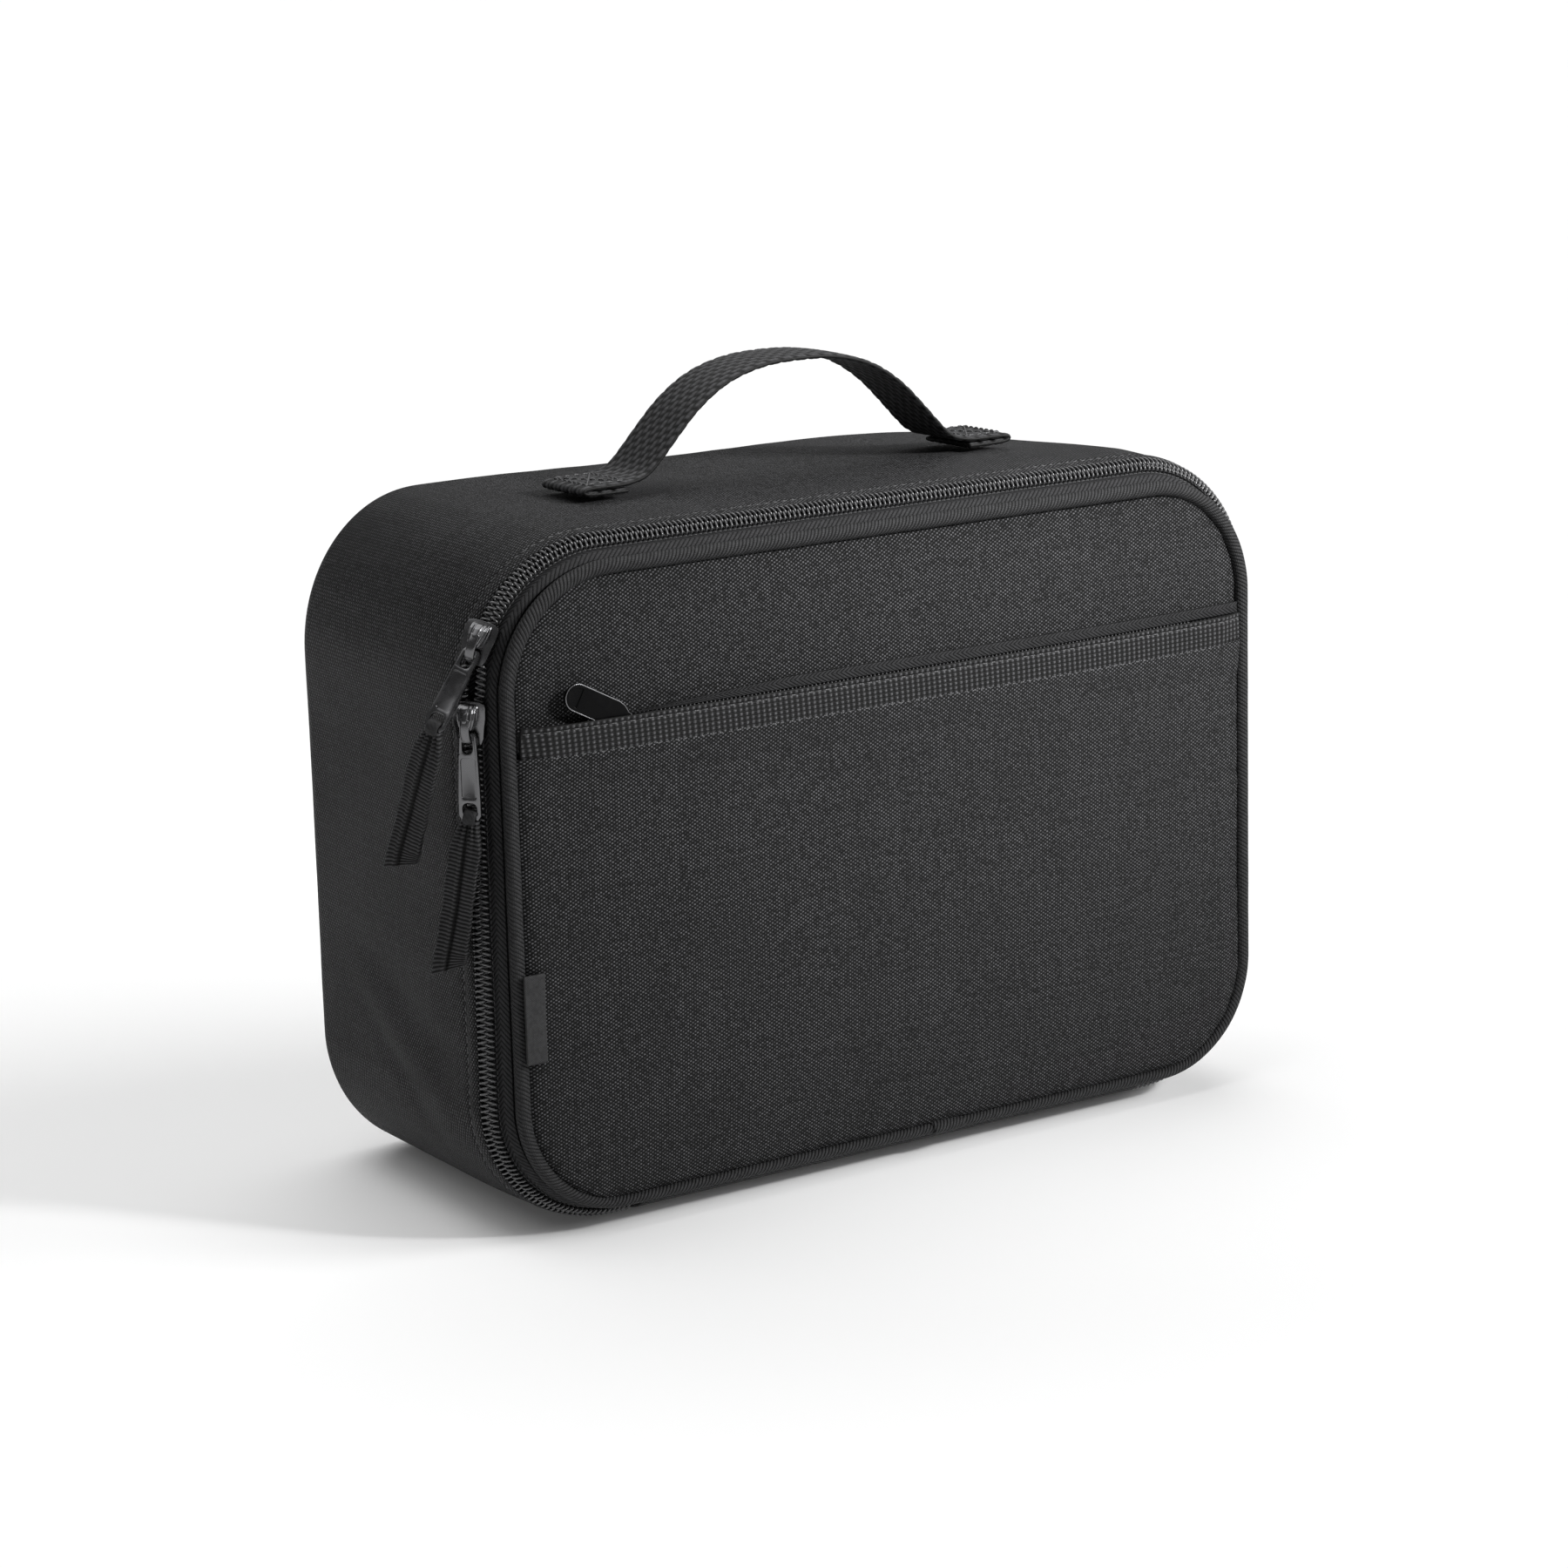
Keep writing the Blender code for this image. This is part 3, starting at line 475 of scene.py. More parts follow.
class Outline:
    """The piping line, by distance from the bottom's middle, round by the right side and the top."""

    def __init__(self):
        half, low, high = HALF_WIDTH, PIPE_LOW, PIPE_HIGH
        flat = half - CORNER_LOW
        side = high - low - CORNER_LOW - CORNER_HIGH
        top = 2 * (half - CORNER_HIGH)
        quarter = math.pi / 2
        self.parts = [
            ("line", flat, (0, low), (1, 0)),
            ("arc", CORNER_LOW * quarter, (flat, low + CORNER_LOW), (CORNER_LOW, -quarter)),
            ("line", side, (half, low + CORNER_LOW), (0, 1)),
            ("arc", CORNER_HIGH * quarter, (top / 2, high - CORNER_HIGH), (CORNER_HIGH, 0)),
            ("line", top, (top / 2, high), (-1, 0)),
            ("arc", CORNER_HIGH * quarter, (-top / 2, high - CORNER_HIGH), (CORNER_HIGH, quarter)),
            ("line", side, (-half, high - CORNER_HIGH), (0, -1)),
            ("arc", CORNER_LOW * quarter, (-flat, low + CORNER_LOW), (CORNER_LOW, math.pi)),
            ("line", flat, (-flat, low), (1, 0)),
        ]
        self.length = self.start_of(len(self.parts))

    def start_of(self, index):
        """Distance at which a part of the line begins."""
        return sum(part[1] for part in self.parts[:index])

    def at(self, distances):
        """Points and normals, each (n, 2) in X and Z, at distances along the line."""
        distances = np.asarray(distances, float) % self.length
        points = np.zeros((len(distances), 2))
        normals = np.zeros((len(distances), 2))
        start = 0.0
        for kind, length, origin, extra in self.parts:
            inside = (distances >= start - 1e-12) & (distances <= start + length + 1e-12)
            along = distances[inside] - start
            if kind == "line":
                points[inside] = np.array(origin) + along[:, None] * np.array(extra)
                normals[inside] = (extra[1], -extra[0])
            else:
                radius, first = extra
                angle = first + along / radius
                turned = np.stack([np.cos(angle), np.sin(angle)], -1)
                points[inside] = np.array(origin) + radius * turned
                normals[inside] = turned
            start += length
        return points, normals

    def place(self, distances, out, y):
        """(n, m, 3) points: `out` and `y` are (m,) or (n, m). The two sides lean in towards the back."""
        points, normals = self.at(distances)
        out = np.broadcast_to(out, (len(distances), np.shape(out)[-1]))
        y = np.broadcast_to(y, out.shape)
        share = (y - LEAN_START_Y) / (BACK_Y - REAR_ROUND - LEAN_START_Y)
        rise = np.where(normals[:, 1] < 0, normals[:, 1] * BOTTOM_GROWTH, normals[:, 1])
        x = points[:, :1] + normals[:, :1] * (out - SIDE_LEAN * np.clip(share, 0, 1))
        z = points[:, 1:] + rise[:, None] * out
        return np.stack([x, y, z], -1)


OUTLINE = Outline()
TOP_LEFT_END = OUTLINE.start_of(6)      # where the left side begins
SUNK_STATION = OUTLINE.start_of(3) + 0.65 * OUTLINE.parts[3][1]         # on the top right corner
RAISED_STATION = OUTLINE.start_of(5) - 15 * MM                          # just before the top left corner
DRAG_LINES = (      # station, depth behind the fold, reach, and each line's shift, tilt, height and width in mm
    (TOP_LEFT_END + 95 * MM, 34 * MM, 30 * MM,
     ((0, 0.35, 0.9, 7), (17, 0.5, -0.8, 6), (34, 0.6, 0.7, 6), (-21, 0.3, -0.5, 8))),
    (OUTLINE.length - 150 * MM, 40 * MM, 34 * MM,
     ((0, -0.5, 0.9, 7), (-22, -0.35, -0.9, 7), (22, -0.7, -0.7, 6), (-46, -0.2, 0.6, 9))))


def closed_stations(count):
    return np.arange(count) * OUTLINE.length / count


def zipped_stations(count, end_gap=0.0):
    return np.linspace(HINGE_HALF + end_gap, OUTLINE.length - HINGE_HALF - end_gap, count)


def thick_line(line, thickness):
    """Closed section round a sheet whose outer face follows the (m, 2) line."""
    line = np.asarray(line, float)
    return np.concatenate([line, (line + thickness * line_normals(line))[::-1]])


def resample(line, step):
    """Even points along a polyline."""
    line = np.asarray(line, float)
    lengths = travelled(line)
    even = np.linspace(0, lengths[-1], max(int(lengths[-1] / step) + 1, 2))
    return np.stack([np.interp(even, lengths, line[:, axis]) for axis in range(line.shape[1])], -1)


def smooth_line(line, step, rounds=3):
    """Corner-cut a polyline, then space it evenly."""
    line = np.asarray(line, float)
    for _ in range(rounds):
        quarter = line[:-1] * 0.75 + line[1:] * 0.25
        three = line[:-1] * 0.25 + line[1:] * 0.75
        middle = np.stack([quarter, three], 1).reshape(-1, line.shape[1])
        line = np.concatenate([line[:1], middle, line[-1:]])
    return resample(line, step)


def section_lengths(section):
    """Distance round a closed section, with one more value for the way back to its start."""
    return travelled(np.concatenate([section, section[:1]]))


def outline_grid(stations, section, move=None):
    """(n, m, 3) points of an (m, 2) section of (out, y) at each station. move(s, out, y) may shift them."""
    out = np.broadcast_to(section[:, 0], (len(stations), len(section))).copy()
    y = np.broadcast_to(section[:, 1], out.shape).copy()
    if move:
        out, y = move(stations[:, None], out, y)
    return OUTLINE.place(stations, out, y)


def sweep(name, section, material, stations=None, closed=True, move=None):
    """Sweep an (m, 2) section of (out, y) round the outline. move(s, out, y) may shift it."""
    stations = closed_stations(SWEEP_STATIONS) if stations is None else stations
    u = np.append(stations, OUTLINE.length) if closed else stations
    return grid_piece(name, outline_grid(stations, section, move), material, u, section_lengths(section), closed)


def waves(s, y, seed, count, shortest, longest):
    """Smooth unevenness: a sum of a few seeded waves that close round the outline."""
    rng = np.random.default_rng(seed)
    total = np.zeros(np.broadcast(s, y).shape)
    for _ in range(count):
        length = rng.uniform(shortest, longest)
        turns = max(round(OUTLINE.length / length), 1)
        slant = rng.uniform(-0.7, 0.7) / length
        phase = rng.uniform(0, TAU)
        total += np.sin(TAU * (turns * s / OUTLINE.length + slant * y) + phase)
    return total / count


def bump_at(value, centre, width):
    return np.exp(-((value - centre) / width) ** 2)


def tube(name, line, radial, radius, material, sides=6):
    """A round tube along (n, 3) points. radial gives the side direction at each point."""
    along = unit(np.gradient(line, axis=0))
    side = unit(np.cross(along, radial))
    up = np.cross(side, along)
    angles = np.arange(sides) * TAU / sides
    ring = radius * (np.cos(angles)[:, None] * side[:, None] + np.sin(angles)[:, None] * up[:, None])
    around = np.arange(sides + 1) * TAU / sides * radius
    return grid_piece(name, line[:, None] + ring, material, travelled(line), around)


def join_pieces(name, pieces):
    """Several meshes as one object, keeping their attributes."""
    bpy.ops.object.select_all(action="DESELECT")
    for piece in pieces:
        piece.select_set(True)
    bpy.context.view_layer.objects.active = pieces[0]
    bpy.ops.object.join()
    pieces[0].name = name
    pieces[0].data.name = name
    return pieces[0]


STITCH_LENGTH = 2.5 * MM
STITCH_STEP = 3.3 * MM
THREAD_RADIUS = 0.24 * MM
STITCH_SIDES = 6
STITCH_RINGS = (    # place along the stitch, thickness, and how deep it has sunk
    (-0.5, 0.25, 1.0), (-0.42, 0.85, 0.55), (-0.2, 1.0, 0.1), (0, 1.0, 0), (0.2, 1.0, 0.1), (0.42, 0.85, 0.55),
    (0.5, 0.25, 1.0))


def stitches(name, line, up, dip=0.12 * MM, step=STITCH_STEP, length=STITCH_LENGTH, radius=THREAD_RADIUS):
    """A row of thread stitches on (n, 3) points. up is the cloth's outward direction, or one for each point."""
    lengths = travelled(line)
    count = int((lengths[-1] - length) / step) + 1
    centres = (np.arange(count) + 0.5) * lengths[-1] / count
    shares, profile, sink = np.array(STITCH_RINGS).T
    at = centres[:, None] + shares * length
    middle, lift = (np.stack([np.interp(at, lengths, track[:, axis]) for axis in range(3)], -1)
                    for track in (line, np.broadcast_to(up, line.shape)))
    lift = unit(lift)
    side = np.cross(unit(np.gradient(middle, axis=1)), lift)
    middle = middle + lift * (radius * 0.5 - (dip + radius) * sink)[:, None]
    rings, sides = len(shares), STITCH_SIDES
    angles = np.arange(sides) * TAU / sides
    ring = radius * profile[:, None, None] * (
        np.cos(angles)[:, None] * side[:, :, None] + np.sin(angles)[:, None] * lift[:, :, None])
    i, j = ring_corners(rings, sides)
    ends = np.stack([np.arange(sides)[::-1], np.arange(sides) + (rings - 1) * sides])
    offsets = np.arange(count)[:, None, None] * rings * sides
    faces = [(group + offsets).reshape(-1, group.shape[1]) for group in (i * sides + j % sides, ends)]
    flat = np.stack([i * length / rings, j * radius], -1)
    cloth = [np.tile(flat, (count, 1, 1)), np.zeros((2 * count, sides, 2))]
    return build_mesh(name, (middle[:, :, None] + ring).reshape(-1, 3), faces, THREAD_MAT, cloth)


# ---- Body cloth ------------------------------------------------------------------------------------

def side_out(y):
    """How far the outer cloth stands outside the piping line at depth y."""
    swell = ramp(np.asarray(y) - FRONT_Y - 11 * MM, 38 * MM)
    return FOLD_OUT + (BULGE - FOLD_OUT) * np.sin(swell * math.pi / 2)


def slump(s, y):
    """How far the soft side stands out or sags: slack between the seams, drag lines, a sunk rear corner."""
    slack = ramp(y - FOLD_Y - 3 * MM, 20 * MM) * ramp(BACK_Y - 4 * MM - y, 14 * MM)
    normals = OUTLINE.at(s[:, 0])[1]
    stands = np.clip(1 + normals[:, 1:] * 1.2, 0, 1)            # none under the flat bottom
    gentle = 1.0 * MM * waves(s, y, 3, 9, 45 * MM, 150 * MM)
    ripple = 0.25 * MM * waves(s, y, 8, 10, 16 * MM, 36 * MM)
    drag = np.zeros(y.shape)
    for station, depth, reach, lines in DRAG_LINES:
        for shift, tilt, height, width in lines:
            ridge = bump_at(s - station - shift * MM - tilt * (y - FOLD_Y), 0, width * MM)
            drag += height * MM * ridge * bump_at(y, FOLD_Y + depth, reach)
    rear = ramp(y - FOLD_Y - 20 * MM, 60 * MM)
    sag = -4.2 * MM * bump_at(s, SUNK_STATION, 42 * MM) * rear
    lift = 1.2 * MM * bump_at(s, RAISED_STATION, 35 * MM) * rear
    return stands * (gentle + ripple + drag) * slack + sag + lift


def sagging(s, out, y):
    """The layers under the side cloth follow its slump."""
    return out + slump(s, y), y


def softness(s, out, y):
    """The side cloth: its slump, and the channel that its topstitch pulls down."""
    stitch_dip = -0.35 * MM * bump_at(y, TOPSTITCH_Y, 0.9 * MM)
    roll = 0.35 * MM * bump_at(y, FOLD_Y + 2.2 * MM, 1.6 * MM)
    return out + slump(s, y) + stitch_dip + roll, y


def gusset_line(inward=0.0, back_deg=62):
    y = np.concatenate([np.linspace(FOLD_Y, FOLD_Y + 8 * MM, 14),
                        np.linspace(FOLD_Y + 9 * MM, BACK_Y - REAR_ROUND, 42)])
    line = np.stack([side_out(y) - inward, y], -1)
    angle = np.radians(np.linspace(6, back_deg, 12))
    radius = REAR_ROUND - inward
    turn = np.stack([BULGE - REAR_ROUND + radius * np.cos(angle),
                     BACK_Y - REAR_ROUND + radius * np.sin(angle)], -1)
    return np.concatenate([line, turn])


def body_cloth():
    """Side cloth with its folded front edge, and the row of stitches along the fold."""
    outer = gusset_line()
    fold_radius = 0.75 * MM
    angle = np.radians(np.linspace(110, 250, 7))
    nose = outer[0] + np.stack([fold_radius * (np.sin(angle) - 1), 0.9 * fold_radius * np.cos(angle)], -1)
    inner = gusset_line(CLOTH)[::-1]
    keep = inner[:, 1] > outer[0, 1] + 7 * MM
    section = np.concatenate([outer, inner[keep], nose[:1] + [-0.1 * MM, 0.5 * MM], nose])
    settle(sweep("shell_sides", section, CLOTH_MAT, closed_stations(560), True, softness),
           "box", "shell_cloth", "gusset_panel")
    side_padding()
    stations = closed_stations(700)
    spot = np.array([[float(side_out(TOPSTITCH_Y)), TOPSTITCH_Y]])
    line, above = (section_loop(outline_grid(stations, spot + [rise, 0], softness)[:, 0]) for rise in (0, 1))
    settle(stitches("shell_topstitch", line, above - line), "box", "shell_cloth")


def side_padding():
    """Foam between the side cloth and the liner."""
    outer = gusset_line(CLOTH + 2 * GAP + TAPE)
    outer = outer[(outer[:, 1] > FRONT_Y + 15 * MM) & (outer[:, 1] < BACK_Y - 8 * MM)]
    padding = sweep("side_padding", thick_line(outer, FOAM), FOAM_MAT, closed_stations(300), True, sagging)
    settle(padding, "box", "foam", "gusset_foam")


def section_loop(line):
    """The line with its first point again at its end."""
    return np.concatenate([line, line[:1]])


def with_inner_rings(grid, shares, depth):
    """The grid's rings, then smaller ones inside the last. depth(x, z, share) is their Y."""
    middle = np.array([0, 0, MIDDLE_Z])
    rings = []
    for share in shares:
        ring = middle + (grid[:, -1] - middle) * share
        ring[:, 1] = depth(ring[:, 0], ring[:, 2], share)
        rings.append(ring)
    return np.concatenate([grid.transpose(1, 0, 2), rings])


def ring_sheet(levels, middle):
    """Points and faces of a sheet from rings of points, closed at the last ring by a fan."""
    rows, count = levels.shape[:2]
    i, j = ring_corners(rows, count)
    last = (rows - 1) * count + np.arange(count)
    fan = np.stack([last, np.roll(last, -1), np.full(count, rows * count)], -1)
    return np.concatenate([levels.reshape(-1, 3), [middle]]), [i * count + j % count, fan]


def flat_cloth(points, faces):
    """Cloth distances of an upright panel, from its X and Z."""
    return [points[group][:, :, [0, 2]] for group in faces]


def back_cloth():
    """Back panel: turned seam at its rim, softly crowned."""
    rim_out, rim_y = gusset_line()[-1]
    rings = [(rim_out - 0.2 * MM, rim_y - 1.6 * MM), (rim_out + 0.1 * MM, rim_y - 0.5 * MM),
             (rim_out - 0.3 * MM, rim_y + 0.4 * MM), (rim_out - 1.4 * MM, rim_y + 0.9 * MM)]
    rings += [(rim_out - step * MM, BACK_Y - (9.5 - step) * 0.06 * MM) for step in np.linspace(3, 9, 4)]
    flat_y = BACK_Y - 0.15 * MM

    def dented(x, z, share):
        return flat_y + 0.45 * MM * np.sin(x / (37 * MM) + 1.3) * np.cos(z / (31 * MM)) * (1 - share)

    rim = outline_grid(closed_stations(360), np.array(rings), sagging)
    levels = with_inner_rings(rim, (0.9, 0.78, 0.64, 0.5, 0.36, 0.22, 0.1), dented)
    points, faces = ring_sheet(levels, (0, flat_y, MIDDLE_Z))
    panel = build_mesh("back_cloth", points, faces, CLOTH_MAT, flat_cloth(points, faces))
    thicken(panel, CLOTH, -1)
    settle(panel, "box", "shell_cloth", "back_panel")


def thicken(made, thickness, offset):
    bpy.context.view_layer.objects.active = made
    skin = made.modifiers.new("thickness", "SOLIDIFY")
    skin.thickness = thickness
    skin.offset = offset
    apply_modifiers(made)


def apply_modifiers(made):
    """Bake the modifiers into the mesh."""
    graph = bpy.context.evaluated_depsgraph_get()
    made.data = bpy.data.meshes.new_from_object(made.evaluated_get(graph))
    made.modifiers.clear()


# ---- Zip -------------------------------------------------------------------------------------------

COIL_PITCH = 1.82 * MM
ZIP_HALVES = (("lid", -1, "lid"), ("body", 1, "box"))            # name, side of the chain, body
UPPER_SEAT_ANGLE = math.radians(24)
UPPER_STATION = TOP_LEFT_END - CORNER_HIGH * UPPER_SEAT_ANGLE
LOWER_STATION = TOP_LEFT_END + (PIPE_HIGH - CORNER_HIGH) - 166 * MM


def chain_section(across, up):
    """(out, y) of points on the zip: `across` runs from the lid side to the body side."""
    across, up = np.asarray(across, float), np.asarray(up, float)
    out = CHAIN_OUT + across * math.sin(CHAIN_TILT) + up * math.cos(CHAIN_TILT)
    y = FRONT_Y + CHAIN_BACK + across * math.cos(CHAIN_TILT) - up * math.sin(CHAIN_TILT)
    return np.stack([out, y], -1)


def parted(s):
    """How far the halves stand apart between the parked sliders, from 0 to 1."""
    return ease(ramp(s - UPPER_STATION - 3 * MM, 5 * MM)) * ease(ramp(LOWER_STATION - 3 * MM - s, 5 * MM))


def chain_line(stations, across, up):
    """(n, 3) points on the zip: across and up are one number each, or one for each station."""
    spot = np.broadcast_to(chain_section(across, up), (len(stations), 2))
    return OUTLINE.place(stations, spot[:, :1], spot[:, 1:])[:, 0]


def coil_half(name, side):
    """One half of the chain: a flattened coil of nylon wire, side -1 on the lid and 1 on the body."""
    dense = zipped_stations(4000, 1 * MM)
    lengths = travelled(chain_line(dense, [0.0], [0.0]))
    turns = int(lengths[-1] / COIL_PITCH)
    per_turn = 14
    phase = np.arange(turns * per_turn + 1) / per_turn
    s = np.interp((phase + (0.5 if side > 0 else 0)) * COIL_PITCH, lengths, dense)
    angle = phase * TAU
    hub = side * (1.18 * MM + 1.5 * MM * parted(s))
    reach, rise, wire = 1.36 * MM, 0.72 * MM, 0.36 * MM
    line = chain_line(s, hub - side * reach * np.cos(angle), rise * signed_power(np.sin(angle), 0.75))
    core = chain_line(s, hub, np.zeros(len(s)))
    return tube(name, line, line - core + 1e-7, wire, COIL_MAT)


def zip_tapes():
    """Both tapes, opened a little where the chain stands apart, with the coils and the rows that hold them."""
    under = -1.15 * MM
    lid_line = np.concatenate([chain_section([-0.35 * MM, -3.2 * MM], [under, under]),
                               [[4.1 * MM, FRONT_Y + 4.1 * MM], [1.9 * MM, FRONT_Y + 2.3 * MM]]])
    behind = [[float(side_out(FRONT_Y + depth)) - CLOTH - GAP, FRONT_Y + depth] for depth in (14 * MM, 24 * MM)]
    body_line = np.concatenate([chain_section([0.35 * MM, 2.6 * MM], [under, under]), behind])

    def open_lid(s, out, y):
        shift = 1.3 * MM * parted(s) * ramp(out - 3.4 * MM, 2 * MM)
        return out - shift * math.sin(CHAIN_TILT), y - shift * math.cos(CHAIN_TILT)

    def open_body(s, out, y):
        shift = 1.3 * MM * parted(s) * ramp(9.0 * MM - out, 2 * MM)
        return out + shift * math.sin(CHAIN_TILT) + slump(s, y), y + shift * math.cos(CHAIN_TILT)

    lines = (smooth_line(lid_line, 0.45 * MM)[::-1], smooth_line(body_line, 0.6 * MM))
    for (half, _, body), line, opened in zip(ZIP_HALVES, lines, (open_lid, open_body)):
        tape = sweep(half + "_tape", thick_line(line, TAPE), TAPE_MAT, zipped_stations(560), False, opened)
        settle(tape, body, "zip_tape", half + "_zip_tape")
    for half, side, body in ZIP_HALVES:
        settle(coil_half(half + "_coil", side), body, "zip_coil", half + "_zip_coil")
    for half, side, body in ZIP_HALVES:
        stations = zipped_stations(600, 2 * MM)
        line, higher = (chain_line(stations, [side * 2.85 * MM], [under + rise]) for rise in (0.15 * MM, 1.15 * MM))
        row = stitches(half + "_chain_stitch", line, (higher - line) / MM, 0.05 * MM, COIL_PITCH, 1.5 * MM, 0.16 * MM)
        settle(row, body, "zip_tape")


# ---- Lid -------------------------------------------------------------------------------------------

def crown_at(x, z):
    """How far the padded lid swells at this place."""
    across = np.clip(1 - (np.abs(x) / HALF_WIDTH) ** 3, 0, 1)
    return CROWN * across * np.clip(1 - (np.abs(z - MIDDLE_Z) / (PIPE_HIGH - MIDDLE_Z)) ** 2.8, 0, 1)


def half_width_at(z, inset):
    z = np.asarray(z, float)
    wide = HALF_WIDTH - inset
    result = np.full(z.shape, wide)
    for centre, radius, sign in ((PIPE_LOW + CORNER_LOW, CORNER_LOW - inset, -1),
                                 (PIPE_HIGH - CORNER_HIGH, CORNER_HIGH - inset, 1)):
        past = (z - centre) * sign
        turned = wide - radius + np.sqrt(np.clip(radius ** 2 - past ** 2, 0, None))
        result = np.where(past > 0, turned, result)
    return result


def panel_waves(x, z, seed, amplitude):
    rng = np.random.default_rng(seed)
    total = np.zeros(np.broadcast(x, z).shape)
    for _ in range(9):
        length = rng.uniform(40, 130) * MM
        angle = rng.uniform(0, TAU)
        total += np.sin(TAU * (x * math.cos(angle) + z * math.sin(angle)) / length + rng.uniform(0, TAU))
    return amplitude * total / 9


def crowded(count, power):
    """Numbers from -1 to 1 that crowd towards both ends."""
    share = np.linspace(-1, 1, count)
    return np.sign(share) * (1 - (1 - np.abs(share)) ** power)


def lid_sheet(name, rows, inset, thickness, material, relief, columns=150):
    """A sheet across the lid. relief(x, z) is its front face's height above the seam plane."""
    x = half_width_at(rows, inset)[:, None] * crowded(columns, 1.25)
    z = np.broadcast_to(rows[:, None], x.shape)
    face = FRONT_Y - relief(x, z)
    points = two_faced(stacked(x, face, z), stacked(x, face + thickness, z)).reshape(-1, 3)
    count = columns * 2
    i, j = ring_corners(len(rows), count)
    k = np.arange(columns - 1)
    ends = [np.stack([base + k, base + count - 1 - k, base + count - 2 - k, base + k + 1], -1)
            for base in (0, (len(rows) - 1) * count)]
    faces = [i * count + j % count] + ends
    return outward(build_mesh(name, points, faces, material, flat_cloth(points, faces)))


def spaced_rows(low, high, step=1.6 * MM):
    """Rows that crowd towards the rounded corners' ends."""
    return (low + high) / 2 + (high - low) / 2 * crowded(int((high - low) / step), 1.2)


BAND_LOW, BAND_HIGH = 152 * MM, 164 * MM
POCKET_CHAIN_Z = 162.2 * MM
BAND_STITCH_IN = 1.6 * MM       # from the band's edges to its rows of stitches
PANEL_INSET = 1.3 * MM          # the panels run in under the piping


def rim_gaps(x, z):
    """Distances to the panel's side rim and to the nearer of its top and bottom rims."""
    ends = np.minimum(z - PIPE_LOW - PANEL_INSET, PIPE_HIGH - PANEL_INSET - z)
    return half_width_at(z, PANEL_INSET) - np.abs(x), ends


def edge_roll(x, z, depth, width):
    """How far the cloth sinks towards its sewn rim, by distance from the rim."""
    return depth * np.exp(-np.clip(np.minimum(*rim_gaps(x, z)), 0, None) / width)


def pucker(x, z, amplitude, length, reach):
    """Small gathers that start at the piping seam and die out inward."""
    side, end = rim_gaps(x, z)
    rim = np.clip(np.minimum(side, end), 0, None)
    run = np.where(side < end, z, x)
    gather = np.sin(TAU * run / length) + 0.6 * np.sin(TAU * run / (length * 1.63) + 1.1)
    return amplitude * gather * np.exp(-rim / reach) * ramp(rim, 1.5 * MM)


def lid_panels():
    """Lid face, pocket face, and the two strips of tape beside the pocket zip."""
    skin = 0.5 * MM + GAP

    def panel_relief(x, z):
        return (crown_at(x, z) + 0.5 * MM + panel_waves(x, z, 5, 0.5 * MM) +
                pucker(x, z, 0.16 * MM, 9 * MM, 8 * MM) - edge_roll(x, z, 2.0 * MM, 1.7 * MM))

    def pocket_relief(x, z):
        top = ramp(z - (BAND_LOW - 12 * MM), 14 * MM)
        slack = panel_waves(x, z, 12, 0.6 * MM) * (1 - top)
        rise = skin + 1.2 * MM + crown_at(x, z) + 1.4 * MM * ease(top)
        return rise + slack + pucker(x, z, 0.18 * MM, 8 * MM, 9 * MM) - edge_roll(x, z, 2.4 * MM, 2.0 * MM)

    rows = spaced_rows(PIPE_LOW + PANEL_INSET, PIPE_HIGH - PANEL_INSET)
    panel = lid_sheet("lid_face", rows, PANEL_INSET, CLOTH, CLOTH_MAT, panel_relief)
    settle(panel, "lid", "shell_cloth", "lid_panel")
    rows = spaced_rows(PIPE_LOW + PANEL_INSET, BAND_LOW + 2.5 * MM)
    pocket = lid_sheet("pocket_face", rows, PANEL_INSET, 0.7 * MM, CLOTH_MAT, pocket_relief)
    settle(pocket, "lid", "shell_cloth", "pocket_panel")

    half = HALF_WIDTH - PANEL_INSET - 1.0 * MM
    x = np.linspace(-half, half, 240)[:, None]
    share = np.linspace(0, 1, 10)
    for name, node, low, high in (
            ("pocket_tape_upper", "pocket_upper_tape",
             POCKET_CHAIN_Z - 1.5 * MM + 3 * MM * ramp(x + 130 * MM, 20 * MM),
             BAND_HIGH - 1.4 * MM + 4.7 * MM * ramp(x + 112 * MM, 70 * MM) ** 0.7),
            ("pocket_tape_lower", "pocket_lower_tape", BAND_LOW + 4.3 * MM, POCKET_CHAIN_Z - 1.5 * MM)):
        z = np.broadcast_to(low + (high - low) * share, (len(x), len(share)))
        face = FRONT_Y - skin - 0.6 * MM - crown_at(x, z) + edge_roll(x, z, 0.9 * MM, 3 * MM)
        grid = two_faced(stacked(x, face, z), stacked(x, face + TAPE, z))
        strip = grid_piece(name, grid, TAPE_MAT, x[:, 0], there_and_back(share) * 5 * MM)
        settle(strip, "lid", "zip_tape", node)


def webbing_relief(along, across, width, pitch, strands, height):
    """Heavy webbing: lengthwise rows of rounded floats with a pit between one float and the next."""
    row = (across / width + 0.5) * strands
    index = np.floor(row)
    rounded = np.sqrt(np.clip(1 - (2 * (row - index) - 1) ** 2, 0, 1))
    place = along / pitch + 0.5 * index + 0.18 * (row - index - 0.5)
    pit = bump_at(place, np.round(place), 0.17)
    half = along / pitch * 2
    crease = 0.5 * bump_at(half, np.round(half), 0.2)
    edge = ramp(width / 2 - np.abs(across), 0.5 * MM)
    raised = rounded * (1 - 0.85 * pit) * (1 - 0.35 * crease)
    return height * (0.25 + 0.75 * raised) * (0.4 + 0.6 * edge), raised


